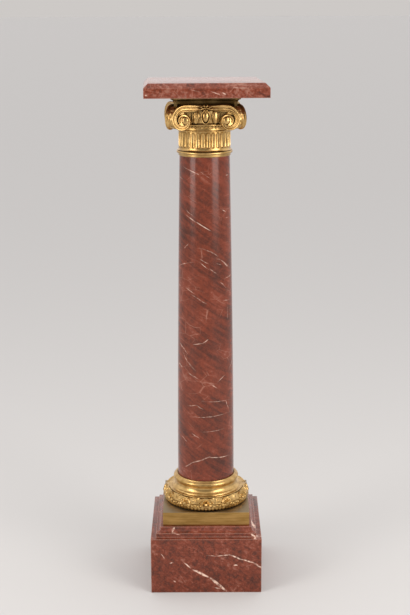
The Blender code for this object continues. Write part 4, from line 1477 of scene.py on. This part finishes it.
def make_room():
    """Lights the scene all round from the world, which the camera itself sees as a plain backdrop."""
    world = bpy.context.scene.world or bpy.data.worlds.new("room")
    bpy.context.scene.world = world
    world.use_nodes = True
    tree = world.node_tree
    tree.nodes.clear()
    toward = add_node(tree, "TexCoord").outputs["Generated"]
    parts = add_node(tree, "SeparateXYZ", None, {0: toward})
    depth = spread(tree, parts.outputs[1], *DEPTH_SPAN, *DEPTH_LIGHT, curve="SMOOTHSTEP")
    above = spread(tree, parts.outputs[2], *HEIGHT_SPAN, *HEIGHT_LIGHT, curve="SMOOTHSTEP")
    light = reckon(tree, "MAXIMUM", depth, above)
    room = add_node(tree, "Background", None, {"Color": ROOM_TINT, "Strength": light})
    seen = add_node(tree, "Background", None, {"Color": BACKDROP, "Strength": 1.0})
    ray = add_node(tree, "LightPath").outputs["Is Camera Ray"]
    mixed = add_node(tree, "MixShader", None, {0: ray, 1: room.outputs[0], 2: seen.outputs[0]})
    add_node(tree, "OutputWorld", None, {0: mixed.outputs[0]})


make_floor()
make_room()


# %% Soft boxes
BOX_TINT = colour("#FFF9F4")
BOX_HEIGHT = 2.1
BOX_TARGET = Vector((0, 0, 0.9))


def soft_box(name, place, width, power):
    data = bpy.data.lights.new(name, "AREA")
    data.shape = "RECTANGLE"
    data.size = width
    data.size_y = BOX_HEIGHT
    data.energy = power
    data.color = BOX_TINT[:3]
    lamp = bpy.data.objects.new(name, data)
    bpy.context.collection.objects.link(lamp)
    lamp.location = place
    lamp.rotation_euler = (BOX_TARGET - Vector(place)).to_track_quat("-Z", "Y").to_euler()
    lamp.visible_camera = False


soft_box("soft_box_left", (-2.2, -1.55, 1.55), 1.2, 38)
soft_box("soft_box_right", (2.0, -1.75, 1.55), 1.5, 46)

# %% [markdown]
# The camera stands a little over the slab's height and looks down the column with a long lens.
# Its place was worked out from the column's own square edges.

# %% Camera
CAMERA_PLACE = (-0.0005, -2.5751, 1.2556)
# In radians, how far the camera looks down and how far it is rolled
LOOK_DOWN = 0.2396
ROLL = -0.0041
SENSOR = 36.0
# The focal length in heights of the picture
FOCAL_SHARE = 1197.4 / 615


def make_camera():
    data = bpy.data.cameras.new("camera")
    data.sensor_fit = "VERTICAL"
    data.sensor_height = SENSOR
    data.sensor_width = SENSOR
    data.lens = SENSOR * FOCAL_SHARE
    camera = bpy.data.objects.new("camera", data)
    bpy.context.collection.objects.link(camera)
    turned = Matrix.Rotation(math.pi / 2 - LOOK_DOWN, 4, "X") @ Matrix.Rotation(ROLL, 4, "Z")
    camera.matrix_world = Matrix.Translation(CAMERA_PLACE) @ turned
    bpy.context.scene.camera = camera


make_camera()
bpy.context.scene.view_settings.view_transform = "Standard"
